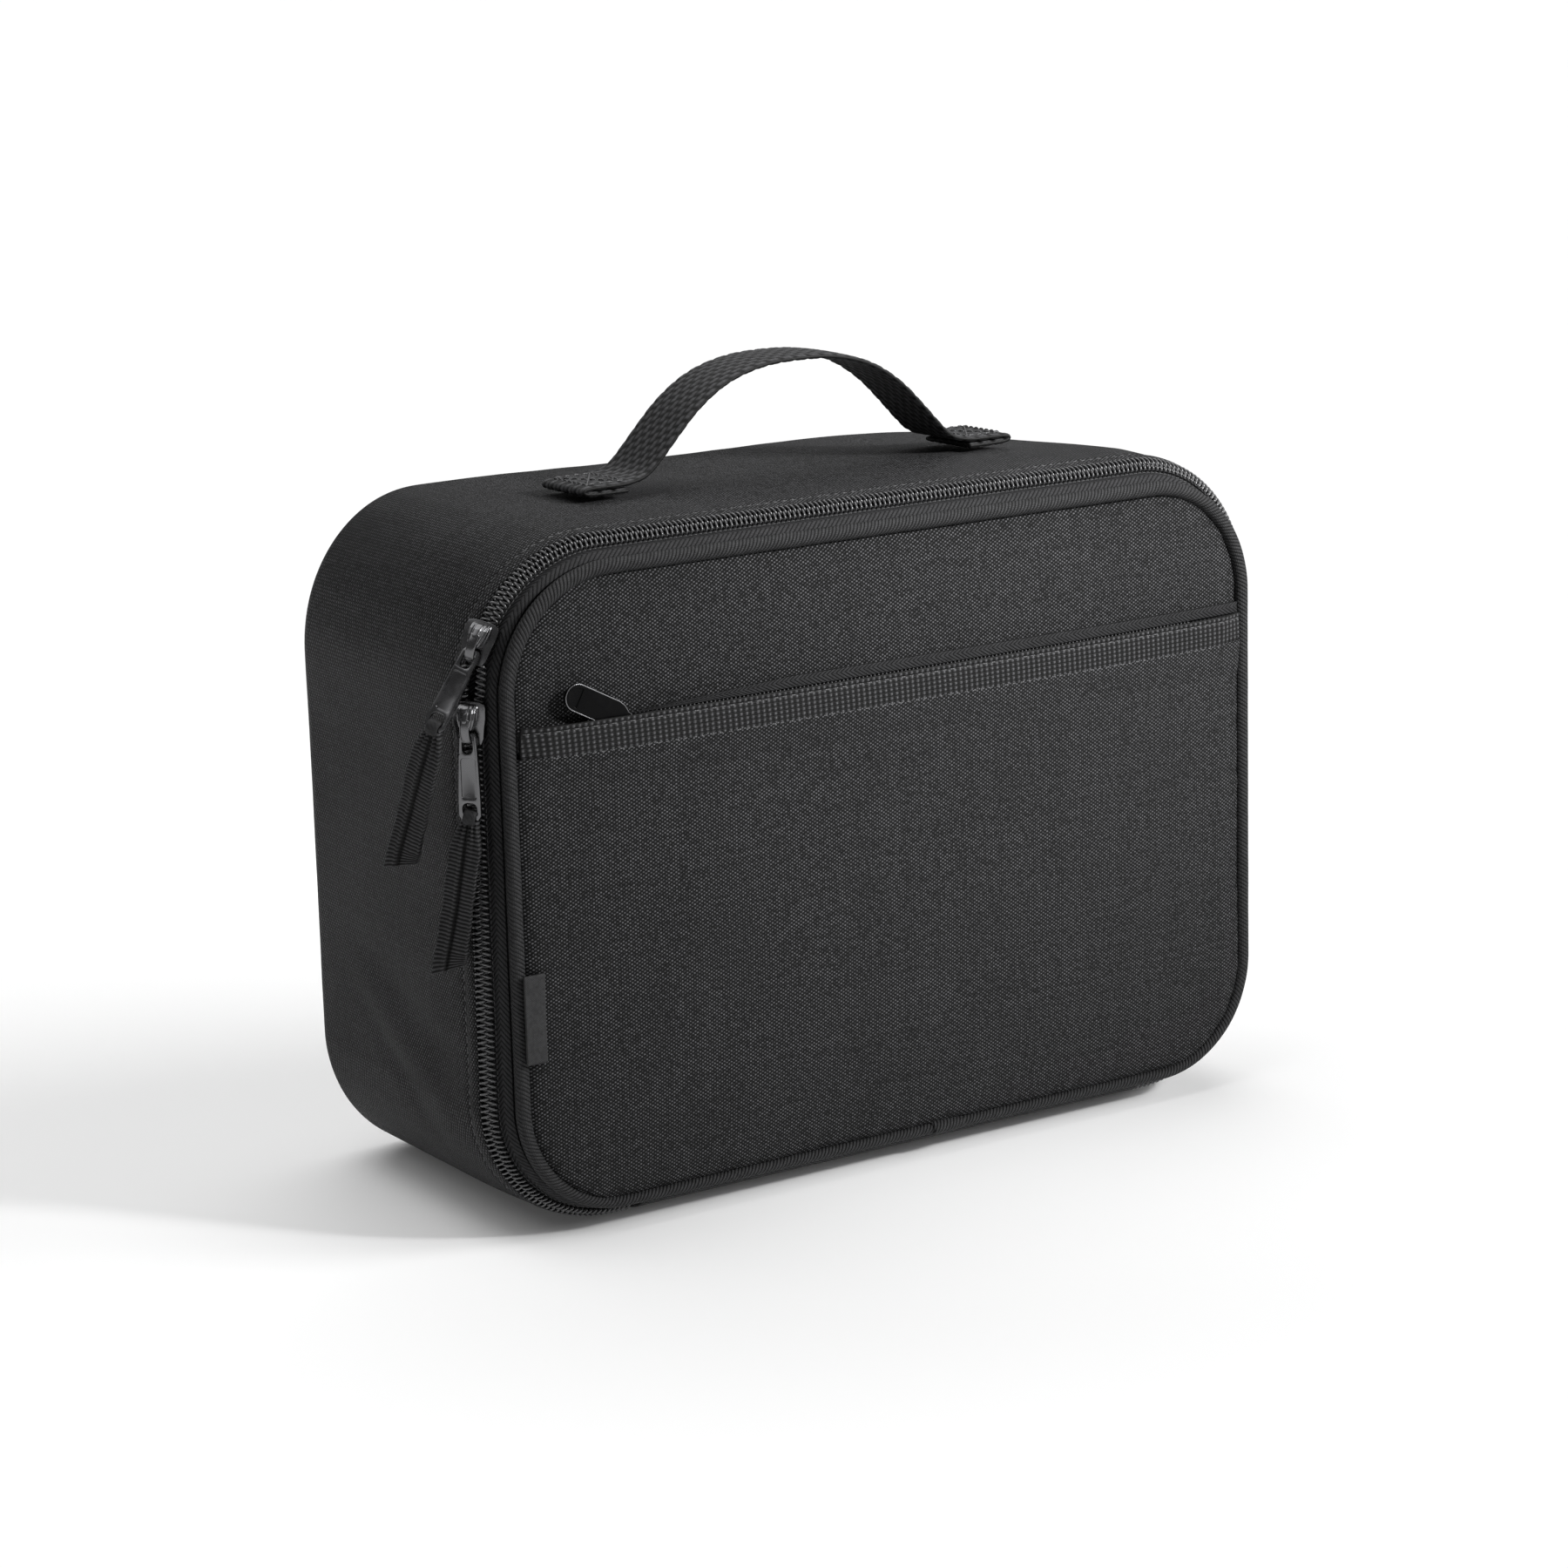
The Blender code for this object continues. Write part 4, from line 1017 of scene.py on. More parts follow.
def pocket_band():
    """Webbing band over the pocket zip, sewn down along its lower edge and at both ends."""
    half = HALF_WIDTH - PIPE_RADIUS - 0.6 * MM
    x = np.linspace(-half, half, int(2 * half / (0.48 * MM)))
    z = np.linspace(BAND_LOW, BAND_HIGH, int((BAND_HIGH - BAND_LOW) / (0.34 * MM)))
    xx, zz = np.meshgrid(x, z, indexing="ij")
    lifted = ramp(zz - BAND_LOW, BAND_HIGH - BAND_LOW)
    end = ramp(half - np.abs(xx), 9 * MM)
    stand = (2.0 + 2.9 * lifted ** 0.7) * MM * (0.45 + 0.55 * end)
    row = lifted * 8
    part = 2 * (row - np.floor(row)) - 1
    column = xx / (2.1 * MM) + 0.13 * row
    raised = bump_at(column, np.round(column), 0.24) * np.clip(1 - part ** 2, 0, 1) ** 1.2
    heights = (BAND_LOW + BAND_STITCH_IN, BAND_HIGH - BAND_STITCH_IN)
    groove = 0.25 * MM * sum(bump_at(zz, height, 0.5 * MM) for height in heights)
    back = FRONT_Y - 0.5 * MM - crown_at(xx, zz) - stand
    front = stacked(xx, back - 0.45 * MM * raised + groove, zz)
    grid = two_faced(front, stacked(xx, back + 0.9 * MM, zz))
    band = grid_piece("pocket_band_webbing", grid, BAND_MAT, x, there_and_back(z))
    # The dots carry the painted highlight on the floats and the painted shade in the pits.
    mark_relief(band, two_faced(raised, raised))
    settle(band, "lid", "webbing", "pocket_band")
    for name, height in zip(("band_stitch_low", "band_stitch_high"), heights):
        line = front[:, int(np.argmin(np.abs(z - height)))] - [0, 0.05 * MM, 0]
        settle(stitches(name, line, (0.0, -1.0, 0.0)), "lid", "webbing")


def pocket_chain():
    """Coil of the pocket zip: both halves, behind the band."""
    halves = []
    pitch, per_turn, hub_z, half_run = 1.5 * MM, 10, 0.62 * MM, 118 * MM
    reach, rise, wire = 0.72 * MM, 0.42 * MM, 0.27 * MM
    for side in (-1, 1):
        turns = int(2 * half_run / pitch)
        phase = np.arange(turns * per_turn + 1) / per_turn
        x = -half_run + (phase + (0.5 if side > 0 else 0)) * pitch
        angle = phase * TAU
        core = stacked(x, FRONT_Y - 1.5 * MM - crown_at(x, POCKET_CHAIN_Z), POCKET_CHAIN_Z + side * hub_z)
        line = core - stacked(0, rise * np.sin(angle), side * reach * np.cos(angle))
        halves.append(tube("pocket_half", line, line - core + 1e-7, wire, COIL_MAT, 5))
    settle(join_pieces("pocket_coil", halves), "lid", "zip_coil", "pocket_zip_coil")


def piping():
    """Piping all round the lid, with the lap of its cover where the two ends meet."""
    sides = 20
    angles = np.arange(sides) * TAU / sides
    section = PIPE_RADIUS * np.stack([np.cos(angles), np.sin(angles)], -1)

    def uneven(s, out, y):
        swell = 1 + 0.025 * waves(s, 0 * out, 21, 8, 7 * MM, 30 * MM)
        return out * swell, FRONT_Y + (y - FRONT_Y) * swell

    cover = sweep("piping_cover", section + [0, FRONT_Y], PIPING_MAT, closed_stations(900), True, uneven)
    settle(cover, "lid", "piping_cloth", "lid_piping")
    join_x = 16 * MM
    stations = np.linspace(join_x - 6 * MM, join_x + 7 * MM, 26)
    share = np.linspace(0, 1, 26)
    grow = 1 + 0.30 * ramp(share, 0.04) * ramp(1 - share, 0.5) ** 0.7
    grid = OUTLINE.place(stations, grow[:, None] * section[:, 0], FRONT_Y + grow[:, None] * section[:, 1])
    around = np.arange(sides + 1) * TAU / sides * PIPE_RADIUS
    settle(grid_piece("piping_lap", grid, PIPING_MAT, stations + 0.3 * MM, around), "lid", "piping_cloth")


def binding_strip(name, corners, step, body, node):
    """A binding whose section runs through these (out, y) corners and back to the first."""
    section = resample(section_loop(np.array(corners)), step)[:-1]
    settle(sweep(name, section, BINDING_MAT), body, "binding", node)


def seam_strips():
    """Bindings inside the lid and at the mouth of the body, each with its row of stitches."""
    stations = closed_stations(500)
    near, far = FRONT_Y + PIPE_RADIUS + GAP, FRONT_Y + 6.6 * MM
    binding_strip("lid_edge_binding", [
        (-2.3 * MM, near), (1.2 * MM, near), (1.3 * MM, far), (0.6 * MM, far + 0.25 * MM),
        (-3.6 * MM, far + 0.25 * MM), (-3.8 * MM, far)], 0.5 * MM, "lid", "lid_binding")
    line = outline_grid(stations, np.array([[-2.6 * MM, far + 0.3 * MM]]))[:, 0]
    settle(stitches("lid_binding_stitch", line, (0.0, 1.0, 0.0)), "lid", "binding")

    front, back = FRONT_Y + 12.9 * MM, FRONT_Y + 15 * MM
    high = float(side_out(back)) - (CLOTH + GAP + TAPE + GAP) - GAP
    low = high - FOAM - LINER - GAP
    binding_strip("mouth_edge_binding", [
        (high, back + 4 * MM), (high, front + 0.6 * MM), (high - 0.8 * MM, front), (low, front),
        (low - 1.3 * MM, front + 0.7 * MM), (low - 1.4 * MM, back + 5 * MM), (low - 0.6 * MM, back + 5 * MM),
        (low - 0.4 * MM, back + 0.4 * MM), (high - 0.8 * MM, back + 0.4 * MM), (high - 0.8 * MM, back + 4 * MM)],
        0.6 * MM, "box", "mouth_binding")
    line, inward = (outline_grid(stations, np.array([[low - depth, back + 3 * MM]]))[:, 0]
                    for depth in (1.4 * MM, 2.4 * MM))
    settle(stitches("mouth_binding_stitch", line, (inward - line) / MM), "box", "binding")


def liners():
    """Welded tub inside the body, and the quilted sheet inside the lid."""
    inward = CLOTH + 3 * GAP + TAPE + FOAM
    back_y = BACK_Y - 2.4 * MM - 2 * GAP - FOAM
    wall = [(float(side_out(FRONT_Y + depth * MM)) - inward, FRONT_Y + depth * MM)
            for depth in (15, 26, 36, 60, 80, 96)]
    wall += [(BULGE - inward - 1 * MM, back_y - 7 * MM), (BULGE - inward - 7 * MM, back_y)]

    def crinkle(s, out, y):
        slack = ramp(y - FRONT_Y - 20 * MM, 14 * MM) * ramp(back_y - y, 10 * MM)
        return out + slump(s, y) - 0.6 * MM * slack * (0.7 + waves(s, y, 31, 14, 14 * MM, 60 * MM)), y

    def folded(x, z, share):
        return back_y - 0.5 * MM - 0.4 * MM * np.sin(x / (16 * MM)) * np.cos(z / (13 * MM) + 0.6)

    stations = closed_stations(400)
    grid = outline_grid(stations, smooth_line(np.array(wall), 2.5 * MM, 2), crinkle)
    levels = with_inner_rings(grid, (0.92, 0.8, 0.66, 0.52, 0.38, 0.24, 0.1), folded)
    u, v = np.append(stations, OUTLINE.length), travelled(levels[:, 0])
    i, j = ring_corners(*levels.shape[:2])
    fan_cloth = stacked(stations, v[-1])[:, None].repeat(3, 1)
    points, faces = ring_sheet(levels, levels[-1].mean(0))
    tub = build_mesh("liner_tub", points, faces, LINER_MAT, [np.stack([u[j], v[i]], -1), fan_cloth])
    thicken(tub, 0.5 * MM, 0)
    settle(tub, "box", "liner", "body_liner")

    depth, inset = 0.5 * MM + 2 * GAP + FOAM, 3 * MM

    def quilt(x, z):
        return -depth - 0.35 * MM * np.sin(x / (15 * MM) + 0.4) * np.sin(z / (12 * MM)) - 0.2 * MM

    rows = spaced_rows(PIPE_LOW + inset, PIPE_HIGH - inset, 3 * MM)
    settle(lid_sheet("lid_liner_film", rows, inset, LINER, LINER_MAT, quilt, 90), "lid", "liner", "lid_liner")


def hinge_cloth():
    """Cloth hinge: from the side cloth's fold to under the piping."""
    back_z = PIPE_LOW - BOTTOM_GROWTH * float(side_out(FOLD_Y))
    line = np.array([(FOLD_Y + 2 * MM, back_z + 0.6 * MM), (FOLD_Y - 0.6 * MM, back_z + 0.2 * MM),
                     (FRONT_Y + 6 * MM, back_z + 1.4 * MM), (FRONT_Y + 3.6 * MM, PIPE_LOW - 4.0 * MM),
                     (FRONT_Y + 2.2 * MM, PIPE_LOW - 2.2 * MM)])
    section = thick_line(smooth_line(line, 0.5 * MM), -0.9 * MM)
    x = np.linspace(-HINGE_HALF, HINGE_HALF, 220)
    grid = stacked(x[:, None], section[:, 0], section[:, 1])
    strip = grid_piece("hinge_cloth", grid, CLOTH_MAT, x, section_lengths(section))
    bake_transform(strip)
    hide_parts("hinge_strip")


def side_label():
    """Folded woven label caught in the left seam, left plain."""
    low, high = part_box("side_label")
    z = np.linspace(low.z, high.z, 40)
    thin = 0.42 * MM
    middle_x, folded_x = (low.x + high.x) / 2, high.x - 0.4 * MM
    line = smooth_line(np.array([
        (low.x - 3 * MM, -thin), (low.x, -thin), (middle_x, -thin - 0.1 * MM), (folded_x, -thin), (high.x, 0),
        (folded_x, thin), (middle_x, thin - 0.1 * MM), (low.x, thin), (low.x - 3 * MM, thin)]), 0.25 * MM, 2)
    lean = 0.25 * MM * np.sin((z - low.z) / (high.z - low.z) * 4)[:, None] * ramp(line[:, 0] - low.x, 4 * MM)
    middle_y = (low.y + high.y) / 2 - 0.1 * MM
    grid = stacked(line[:, 0], middle_y + line[:, 1] + lean, z[:, None])
    label = grid_piece("woven_label", grid, LABEL_MAT, z, section_lengths(line))
    settle(label, "lid", "label", "side_label")


# ---- Sliders and pulls -------------------------------------------------------------------------------

def frame_from(across, along):
    along = along.normalized()
    away = across.cross(along).normalized()
    return Matrix((along.cross(away), along, away)).transposed()


def joint_of(name):
    return next(joint for joint in frame["joints"] if joint["name"] == name)


def seat_matrix(station):
    """Slider frame on the chain: X across it towards the body, Y along it downward, Z away from it."""
    normal = OUTLINE.at([station])[1][0]
    outward_way = Vector((normal[0], 0, normal[1]))
    along = Vector((-outward_way.z, 0, outward_way.x))
    across = outward_way * math.sin(CHAIN_TILT) + Vector((0, math.cos(CHAIN_TILT), 0))
    place = chain_line(np.array([station]), [0.0], [0.0])[0]
    return Matrix.Translation(place) @ frame_from(across, along).to_4x4()


PLATE_LOW = 1.45 * MM
PLATE_HIGH = PLATE_LOW + 1.3 * MM
BRIDGE_TOP = PLATE_HIGH + 5.0 * MM
TAB_PIVOT = Vector((0, 3.2 * MM, PLATE_HIGH + 1.9 * MM))
TAB_LENGTH = 26 * MM
TAB_THICK = 1.4 * MM
TAB_BAR = 1.5 * MM
RIBBON_LENGTH = 50 * MM


def prism(name, outline, low, high, material):
    """A flat piece from an (n, 2) outline between two heights."""
    outline = np.asarray(outline, float)
    count = len(outline)
    points = np.concatenate([np.column_stack([outline, np.full(count, level)]) for level in (low, high)])
    i = np.arange(count)
    sides = np.stack([i, (i + 1) % count, (i + 1) % count + count, i + count], -1)
    ends = np.stack([i[::-1], i + count])
    made = build_mesh(name, points, [sides, ends], material, smooth=False)
    return outward(made)


def boolean(target, other, operation="DIFFERENCE"):
    """Cut the other piece out of the target, or join it on, and remove it."""
    modifier = target.modifiers.new("cut", "BOOLEAN")
    modifier.object = other
    modifier.operation = operation
    apply_modifiers(target)
    bpy.data.objects.remove(other, do_unlink=True)


def soften(made, width, segments=3, angle=35):
    """Round the edges that are sharper than the angle, in degrees."""
    edge = made.modifiers.new("edges", "BEVEL")
    edge.width = width
    edge.segments = segments
    edge.limit_method = "ANGLE"
    edge.angle_limit = math.radians(angle)
    apply_modifiers(made)
    made.data.shade_smooth()
    made.data.set_sharp_from_angle(angle=math.radians(40))
    return made


def round_rect(half_x, low_y, high_y, radius):
    """Outline of a rectangle with rounded corners, anticlockwise from its right side."""
    points = []
    for side_x, centre_y, start in ((1, high_y - radius, 0), (-1, high_y - radius, 90),
                                    (-1, low_y + radius, 180), (1, low_y + radius, 270)):
        for step in range(6):
            angle = math.radians(start + 18 * step)
            points.append((side_x * (half_x - radius) + radius * math.cos(angle), centre_y + radius * math.sin(angle)))
    return points


def bar_grid(line, wide, tall):
    """(n, m, 3) points of a bar along (n, 2) points of (y, z), with (m,) offsets across it and away from it."""
    normal = line_normals(line)
    return stacked(wide, line[:, :1] + normal[:, :1] * tall, line[:, 1:] + normal[:, 1:] * tall)


def arch(name, line, half_width, thickness, material):
    """A bridge: a rounded bar swept along (y, z) points, its width along X."""
    line = smooth_line(line, 0.4 * MM, 3)
    count = 20
    angles = np.arange(count) * TAU / count
    wide = half_width * signed_power(np.cos(angles), 0.55)
    tall = thickness / 2 * signed_power(np.sin(angles), 0.55)
    return grid_piece(name, bar_grid(line, wide, tall), material, np.arange(len(line)) * MM, np.arange(count + 1) * MM)


def slider_hood(name):
    """Fluted hood over the slider's upper part, one closed form that narrows towards the pull."""
    keys = np.array([(-6.0, 2.3, 0.2), (-5.7, 2.9, 1.7), (-5.0, 3.1, 3.1), (-3.6, 3.2, 4.3), (-1.6, 3.0, 4.9),
                     (0.2, 2.5, 4.95), (1.4, 1.9, 4.7), (2.0, 1.5, 4.0), (2.1, 1.2, 3.2)]) * MM
    y = np.concatenate([[-6.0 * MM], np.linspace(-5.95 * MM, 2.05 * MM, 34), [2.1 * MM]])
    wide, tall = (np.interp(y, keys[:, 0], keys[:, column])[:, None] for column in (1, 2))
    turn = np.radians(np.linspace(0, 180, 73))
    power = 0.62
    flute = 1 - 0.09 * (0.5 - 0.5 * np.cos(12 * turn)) ** 2 * (np.sin(turn) > 0.15)
    grid = stacked(wide * signed_power(np.cos(turn), power) * flute, y[:, None],
                     PLATE_HIGH - 0.3 * MM + tall * np.abs(np.sin(turn)) ** power * flute)
    return grid_piece(name, grid, METAL_MAT, y, np.arange(len(turn) + 1) * 0.3 * MM)


def slider_body(name, matrix):
    """Die-cast slider: shouldered top plate, side walls, fluted hood and the bridge that holds the pull."""
    half = [(1.4, -6.6), (3.4, -6.4), (4.9, -5.8), (5.2, -4.8), (5.1, -1.5), (4.6, 1.5), (4.3, 4.6), (3.6, 6.2),
            (2.6, 6.5), (1.6, 6.3)]
    outline = [(-3.4, -6.4), (-1.4, -6.6)] + half + [(0, 6.2)] + [(-x, y) for x, y in half[:1:-1]]
    body = prism(name, in_mm(outline), PLATE_LOW, PLATE_HIGH, METAL_MAT)
    for side in (-1, 1):
        wall = [(side * x, y) for x, y in ((4.1, -5.9), (5.05, -5.2), (5.0, -1.5), (4.5, 1.5), (4.15, 4.7), (3.5, 5.6),
                                           (3.3, 4.6), (3.6, 1.4), (4.0, -1.5))]
        boolean(body, prism(name + "_wall", in_mm(wall), 0.15 * MM, PLATE_LOW + 0.4 * MM, METAL_MAT), "UNION")
    soften(body, 0.32 * MM)
    line = [(y * MM, BRIDGE_TOP - drop * MM)
            for y, drop in ((-2.0, 1.2), (0.4, 0.75), (2.6, 0.8), (4.6, 1.6), (5.5, 3.0))]
    bridge = arch(name + "_bridge", line + [(5.4 * MM, PLATE_HIGH - 0.3 * MM)], 1.45 * MM, 1.2 * MM, METAL_MAT)
    made = join_pieces(name, [body, slider_hood(name + "_hood"), bridge])
    made.data.transform(matrix)
    return made


def in_mm(points):
    return [(x * MM, y * MM) for x, y in points]


def pull_tab(name, matrix):
    """Stamped pull: eye at the top, long shallow recess, round seat for the ribbon at the end."""
    outline = in_mm([(2.1, -0.75), (2.75, 0.4), (2.95, 3.0), (3.1, 6.0), (3.3, 12.0), (3.5, 20.0), (3.5, 24.6),
                     (2.6, 26.0)])
    outline += [(-x, y) for x, y in outline[::-1]]
    tab = prism(name, outline, -TAB_THICK / 2, TAB_THICK / 2, METAL_MAT)
    past, recess = 2 * MM, 0.22 * MM
    recess_line = round_rect(2.35 * MM, 7.0 * MM, 19.6 * MM, 1.0 * MM)
    for cut, low, high in ((round_rect(1.7 * MM, 0.75 * MM, 5.6 * MM, 1.6 * MM), -past, past),
                           (round_rect(2.35 * MM, TAB_LENGTH - 5.3 * MM, TAB_LENGTH - TAB_BAR, 1.7 * MM), -past, past),
                           (recess_line, recess, past), (recess_line, -past, -recess)):
        boolean(tab, prism("cut", cut, low, high, METAL_MAT))
    soften(tab, 0.24 * MM, 2, 30)
    tab.data.transform(matrix)
    return tab


def pull_ribbon(name, matrix, seed):
    """Folded grosgrain: gathered through the pull's end, spread to full width, cut across."""
    rng = np.random.default_rng(seed)
    y = np.linspace(0.6 * MM, RIBBON_LENGTH, 300)[:, None]
    t = np.linspace(-1, 1, 40)
    half = (2.3 + 2.6 * ramp(y - 0.6 * MM, 10 * MM) ** 0.7) * MM + 0.12 * MM * np.sin(y / (1.9 * MM) + seed)
    down = ramp(y, 12 * MM)
    rib = (0.5 + 0.5 * np.cos(TAU * y / (1.25 * MM) + 0.6)) ** 0.7
    fold_at = 0.30 + 0.10 * np.sin(y / (11 * MM) + seed)
    valley = bump_at(t, fold_at - 0.24, 0.09)
    shape = (0.55 * MM * bump_at(t, fold_at, 0.13) * down - 0.40 * MM * valley +
             0.30 * MM * bump_at(t, -0.45, 0.16) * (1 - 0.5 * down) + 0.5 * MM * np.cos(TAU * 2.5 * t) * (1 - down))
    selvage = 0.22 * MM * (np.abs(t) > 0.88)
    bow = 0.9 * MM * np.sin(math.pi * ramp(y, 30 * MM))
    twist = 0.7 * MM * np.sin(y / (11 * MM) + rng.uniform(0, 3)) * t * down
    top = 0.72 * MM + 0.30 * MM * rib * (1 - 0.25 * np.abs(t)) + shape + selvage + twist + bow
    bottom = -0.60 * MM - 0.25 * MM * rib + 0.6 * shape + twist + bow
    cut_y = y + (2.6 * t - 1.2) * MM * ramp(y - RIBBON_LENGTH + 7 * MM, 7 * MM)
    grid = two_faced(*(stacked(half * t, cut_y, face) for face in (top, bottom)))
    strap = grid_piece("strap", grid, RIBBON_MAT, y[:, 0], there_and_back(t) * 5 * MM)
    # Painted highlight on the ribs and painted shade in the fold's valley, through the ribbon material.
    lit = rib * np.clip(1 - 2.2 * valley, 0, 1)
    mark_relief(strap, two_faced(lit, lit))
    made = join_pieces(name, [strap, ribbon_loop()])
    made.data.transform(matrix)
    return made


def ribbon_loop():
    """The ribbon's head, wound round the end of the pull."""
    count, cross = 26, 14
    angles = np.radians(np.linspace(40, 320, count))
    normal = np.stack([np.cos(angles), np.sin(angles)], -1)
    loop = 1.9 * MM * normal
    around = np.arange(cross) * TAU / cross
    tall = 0.62 * MM * signed_power(np.sin(around), 0.6) * (1 + 0.22 * np.cos(TAU * np.arange(count) / 2.6)[:, None])
    grid = stacked(2.0 * MM * signed_power(np.cos(around), 0.5), loop[:, :1] + normal[:, :1] * tall,
                     loop[:, 1:] + normal[:, 1:] * tall)
    head = grid_piece("loop", grid, RIBBON_MAT, np.arange(count) * 0.45 * MM, np.arange(cross + 1) * 0.4 * MM)
    mark_relief(head, np.full((count, cross), 0.6))
    return head


def pull_set(side, station, swing, lean, ribbon_way, seed):
    """Slider, metal pull and ribbon at one station. swing and lean turn the pull on the slider's bridge."""
    seat = seat_matrix(station)
    settle(slider_body(side + "_slider", seat), side + "_slider", "gunmetal", side + "_slider_body")
    turn = Matrix.Rotation(lean, 3, "Z") @ Matrix.Rotation(swing, 3, "X")
    tab_frame = seat @ Matrix.Translation(TAB_PIVOT) @ turn.to_4x4()
    settle(pull_tab(side + "_pull", tab_frame), side + "_tab", "gunmetal", side + "_pull_tab")
    across = tab_frame.to_3x3().col[0]
    hold = tab_frame @ Vector((0, TAB_LENGTH - TAB_BAR / 2, 0))
    ribbon_frame = Matrix.Translation(hold) @ frame_from(across, Vector(ribbon_way)).to_4x4()
    settle(pull_ribbon(side + "_pull_ribbon", ribbon_frame, seed), side + "_ribbon", "ribbon", side + "_ribbon")


def pocket_pull():
    """Pocket slider behind the band, and its enamelled pull with a bright rim."""
    low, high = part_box("pocket_slider_body")
    seat = Matrix.Translation(Vector(((low.x + high.x) / 2, high.y, (low.z + high.z) / 2))) @ frame_from(
        Vector((0, 0, 1)), Vector((-1, 0, 0))).to_4x4()
    plate = round_rect(1.7 * MM, -5 * MM, 5 * MM, 1.2 * MM)
    slider = soften(prism("pocket_slide", plate, 0, 0.8 * MM, ENAMEL_MAT), 0.25 * MM)
    slider.data.transform(seat)
    settle(slider, "pocket_slider", "black_enamel", "pocket_slider_body")
    turn = Matrix.Rotation(math.radians(-0.8), 3, "X") @ Matrix.Rotation(math.radians(-28), 3, "Z")
    pivot = Vector(joint_of("pocket_tab_swivel")["pos_m"])
    matrix = Matrix.Translation(pivot) @ (seat.to_3x3() @ turn).to_4x4()
    half, length = 4.2, 24.5
    root = [(1.6, -1.0), (2.4, 1.2), (3.7, 3.2), (half, 5.5)]
    angles = [math.pi * step / 18 for step in range(19)]
    tip = [(half * math.cos(angle), length - half + half * math.sin(angle)) for angle in angles]
    outline = in_mm([(-1.6, -1.0)] + root + tip + [(-x, y) for x, y in root[:0:-1]])
    tab = prism("pocket_pull", outline, 0.30 * MM, 1.15 * MM, ENAMEL_MAT)
    inner = [(x * 0.74, 5 * MM + (y - 5 * MM) * 0.88 + 0.6 * MM) for x, y in outline if y > 6 * MM]
    boolean(tab, prism("recess", inner, 0.85 * MM, 2 * MM, ENAMEL_MAT))
    soften(tab, 0.2 * MM, 3, 30)
    edge = np.array([(x * 0.985, y * 0.985, 1.02 * MM) for x, y in outline + outline[:1]])
    rim = tube("pocket_rim", resample(edge, 0.5 * MM), np.array([[0.0, 0.0, 1.0]]), 0.20 * MM, RIM_MAT, 10)
    tab = join_pieces("pocket_pull", [tab, rim])
    tab.data.transform(matrix)
    settle(tab, "pocket_tab", "black_enamel", "pocket_pull_tab")


# ---- Handle ----------------------------------------------------------------------------------------

def handle():
    """One strap: folded and sewn at both ends, rising into the arch."""
    arch_low, arch_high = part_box("handle_strap")
    end_low, end_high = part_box("handle_end_left")
    middle_y = (end_low.y + end_high.y) / 2
    width = end_high.y - end_low.y
    seat_z = end_low.z
    tip = -end_low.x
    inner = -end_high.x + 8 * MM
    thick, float_height = 1.8 * MM, 0.42 * MM
    crest = arch_high.z - thick / 2 + 2.2 * MM
    layer = seat_z + 1.5 * thick
    under = seat_z + thick / 2 - 0.3 * MM
    right = [(x * MM, crest - drop * MM)
             for x, drop in ((0, 0), (14, 0.7), (28, 4.6), (39.5, 12.0), (48, 20.5), (55, 28))]
    right += [(60 * MM, layer + 1.6 * MM), (inner + 3.0 * MM, layer + 0.1 * MM), (inner + 8 * MM, layer),
              (tip - 6 * MM, layer), (tip - 1.5 * MM, layer - 0.1 * MM), (tip - 0.2 * MM, seat_z + thick),
              (tip - 1.5 * MM, seat_z + 0.5 * thick - 0.1 * MM), (tip - 8 * MM, under), (inner + 3 * MM, under)]
    line = smooth_line(np.array([(-x, z) for x, z in right[:0:-1]] + right), 0.42 * MM, 3)
    normal = line_normals(line)
    lengths = travelled(line)
    across = np.linspace(-width / 2, width / 2, 72)
    relief, raised = webbing_relief(lengths[:, None], across, width, 5.2 * MM, 11, float_height)
    edge = np.sqrt(ramp(width / 2 - np.abs(across), 0.9 * MM))
    body = (thick / 2 - float_height) * (0.45 + 0.55 * edge)
    cup = 0.5 * MM * (2 * np.abs(across) / width) ** 2 * bump_at(line[:, :1], 0, 40 * MM)
    faces = (stacked(line[:, :1] + normal[:, :1] * off, middle_y + across, line[:, 1:] + normal[:, 1:] * off)
             for off in (body + relief - cup, -(body + relief) - cup))
    strap = grid_piece("carry_strap", two_faced(*faces), WEBBING_MAT, lengths, there_and_back(across))
    # The floats carry the painted highlight, and the pits between them the painted shade.
    mark_relief(strap, two_faced(raised, raised))
    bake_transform(strap)
    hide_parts("handle_strap", "handle_end_left", "handle_end_right")
    sew_handle(middle_y, width, seat_z + 2 * thick + 0.12 * MM, inner, tip)


def sew_handle(middle_y, width, z, inner, tip):
    """Box and cross of stitches through each sewn end."""
    near, far = inner + 3.5 * MM, tip - 3.0 * MM
    half = width / 2 - 2.6 * MM
    a, b, c, d = (near, -half), (far, -half), (far, half), (near, half)
    share = np.linspace(0, 1, 40)[:, None]
    for side, name in ((-1, "left"), (1, "right")):
        pieces = []
        for start, end in ((a, b), (b, c), (c, d), (d, a), (a, c), (d, b)):
            flat = np.array(start) * (1 - share) + np.array(end) * share
            line = stacked(side * flat[:, 0], middle_y + flat[:, 1], z)
            pieces.append(stitches("row", line, (0.0, 0.0, 1.0), 0.2 * MM, 2.9 * MM, 2.3 * MM, 0.26 * MM))
        settle(join_pieces("handle_stitch_" + name, pieces), "box", "webbing")


# ---- Stage -----------------------------------------------------------------------------------------

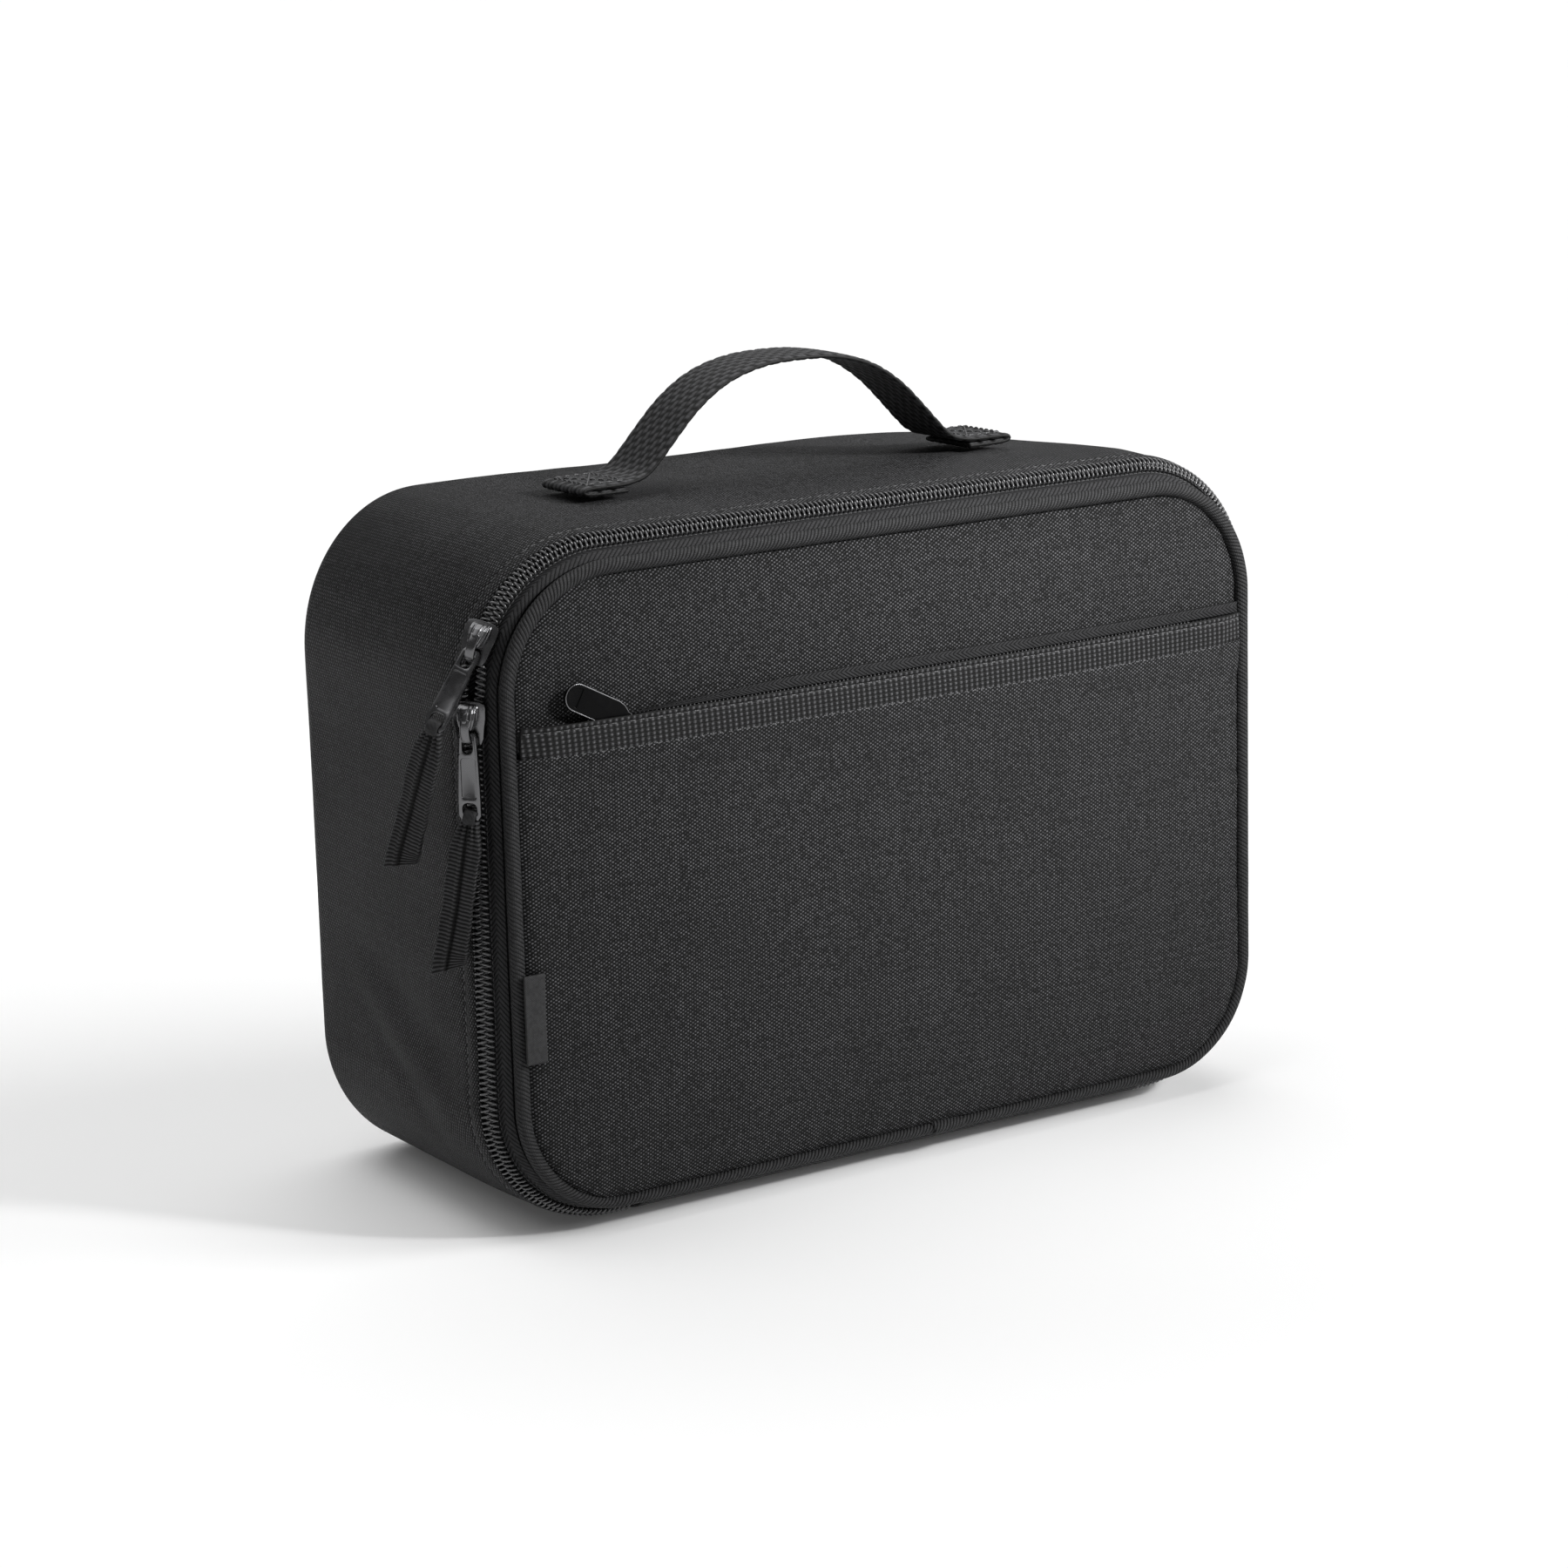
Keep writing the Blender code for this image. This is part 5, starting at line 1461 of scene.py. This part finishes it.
def floor_and_light():
    floor_shader = Shader("floor", (0.86, 0.86, 0.86), 0.9, specular=0.1)
    tone = floor_shader.noise(3)
    floor_shader.tint((0.95, 0.95, 0.95), (0.97, 0.97, 0.97), tone)
    # The floor glows faintly: painted light that brightens it and lights the box from below.
    floor_shader.principled.inputs["Emission Color"].default_value = (1, 1, 1, 1)
    floor_shader.principled.inputs["Emission Strength"].default_value = 0.04
    size = 9.0
    points = [(-size, -size, -0.0004), (size, -size, -0.0004), (size, size, -0.0004), (-size, size, -0.0004)]
    floor = build_mesh("floor", points, [np.array([[0, 1, 2, 3]])], floor_shader.material, smooth=False)
    scene = bpy.context.scene
    scene.view_settings.view_transform = "Standard"
    world = bpy.data.worlds.new("studio")
    scene.world = world
    world.use_nodes = True
    backdrop = world.node_tree.nodes["Background"]
    backdrop.inputs["Color"].default_value = (1, 1, 1, 1)
    backdrop.inputs["Strength"].default_value = 0.15
    for name, way, strength, spread_deg in (("key", (1.3, -0.95, 0.85), 1.75, 30), ("top", (0.1, 0.4, 1.0), 1.5, 60),
                                            ("fill", (-0.55, 0.1, 1.0), 0.7, 50)):
        add_lamp(name, "SUN", strength, -Vector(way)).angle = math.radians(spread_deg)
    place, lit_corner = Vector((0.55, -0.95, 0.75)), Vector((0.085, FRONT_Y, 0.235))
    spot = add_lamp("top_corner_spot", "SPOT", 118, lit_corner - place, place)
    spot.shadow_soft_size = 0.12
    spot.spot_size = math.radians(24)
    spot.spot_blend = 1.0


def add_lamp(name, kind, energy, way, place=(0, 0, 0)):
    """A lamp that shines along the way given."""
    light = bpy.data.lights.new(name, kind)
    light.energy = energy
    lamp = bpy.data.objects.new(name, light)
    lamp.location = place
    lamp.rotation_euler = way.to_track_quat("-Z", "Y").to_euler()
    bpy.context.scene.collection.objects.link(lamp)
    return light


def camera():
    """Long lens from the front left, a little above."""
    azimuth, elevation, roll = math.radians(-34.0), math.radians(13.2), math.radians(-1.6)
    distance = 1.362
    target = Vector((-0.0494, FRONT_Y, 0.123))
    back = Vector((math.sin(azimuth) * math.cos(elevation), -math.cos(azimuth) * math.cos(elevation),
                   math.sin(elevation)))
    right = Vector((math.cos(azimuth), math.sin(azimuth), 0))
    up = back.cross(right)
    turned_right = right * math.cos(roll) + up * math.sin(roll)
    turned_up = up * math.cos(roll) - right * math.sin(roll)
    data = bpy.data.cameras.new("camera")
    data.lens = 100
    data.sensor_width = 36
    data.shift_x = 0.0093
    data.shift_y = 0.0202
    made = bpy.data.objects.new("camera", data)
    made.matrix_world = Matrix.Translation(target + back * distance) @ Matrix(
        (turned_right, turned_up, back)).transposed().to_4x4()
    bpy.context.scene.collection.objects.link(made)
    bpy.context.scene.camera = made


def paint_foam():
    for node in ("back_foam", "lid_foam"):
        frame["nodes"][node].data.materials.clear()
        frame["nodes"][node].data.materials.append(FOAM_MAT)


camera()
floor_and_light()
body_cloth()
back_cloth()
zip_tapes()
piping()
seam_strips()
lid_panels()
pocket_band()
pocket_chain()
liners()
hinge_cloth()
side_label()
pull_set("upper", UPPER_STATION, math.radians(3), math.radians(-8), (-0.06, 0.38, -0.92), 4)
pull_set("lower", LOWER_STATION, 0, 0, (-0.11, 0.16, -0.98), 9)
pocket_pull()
handle()
paint_foam()
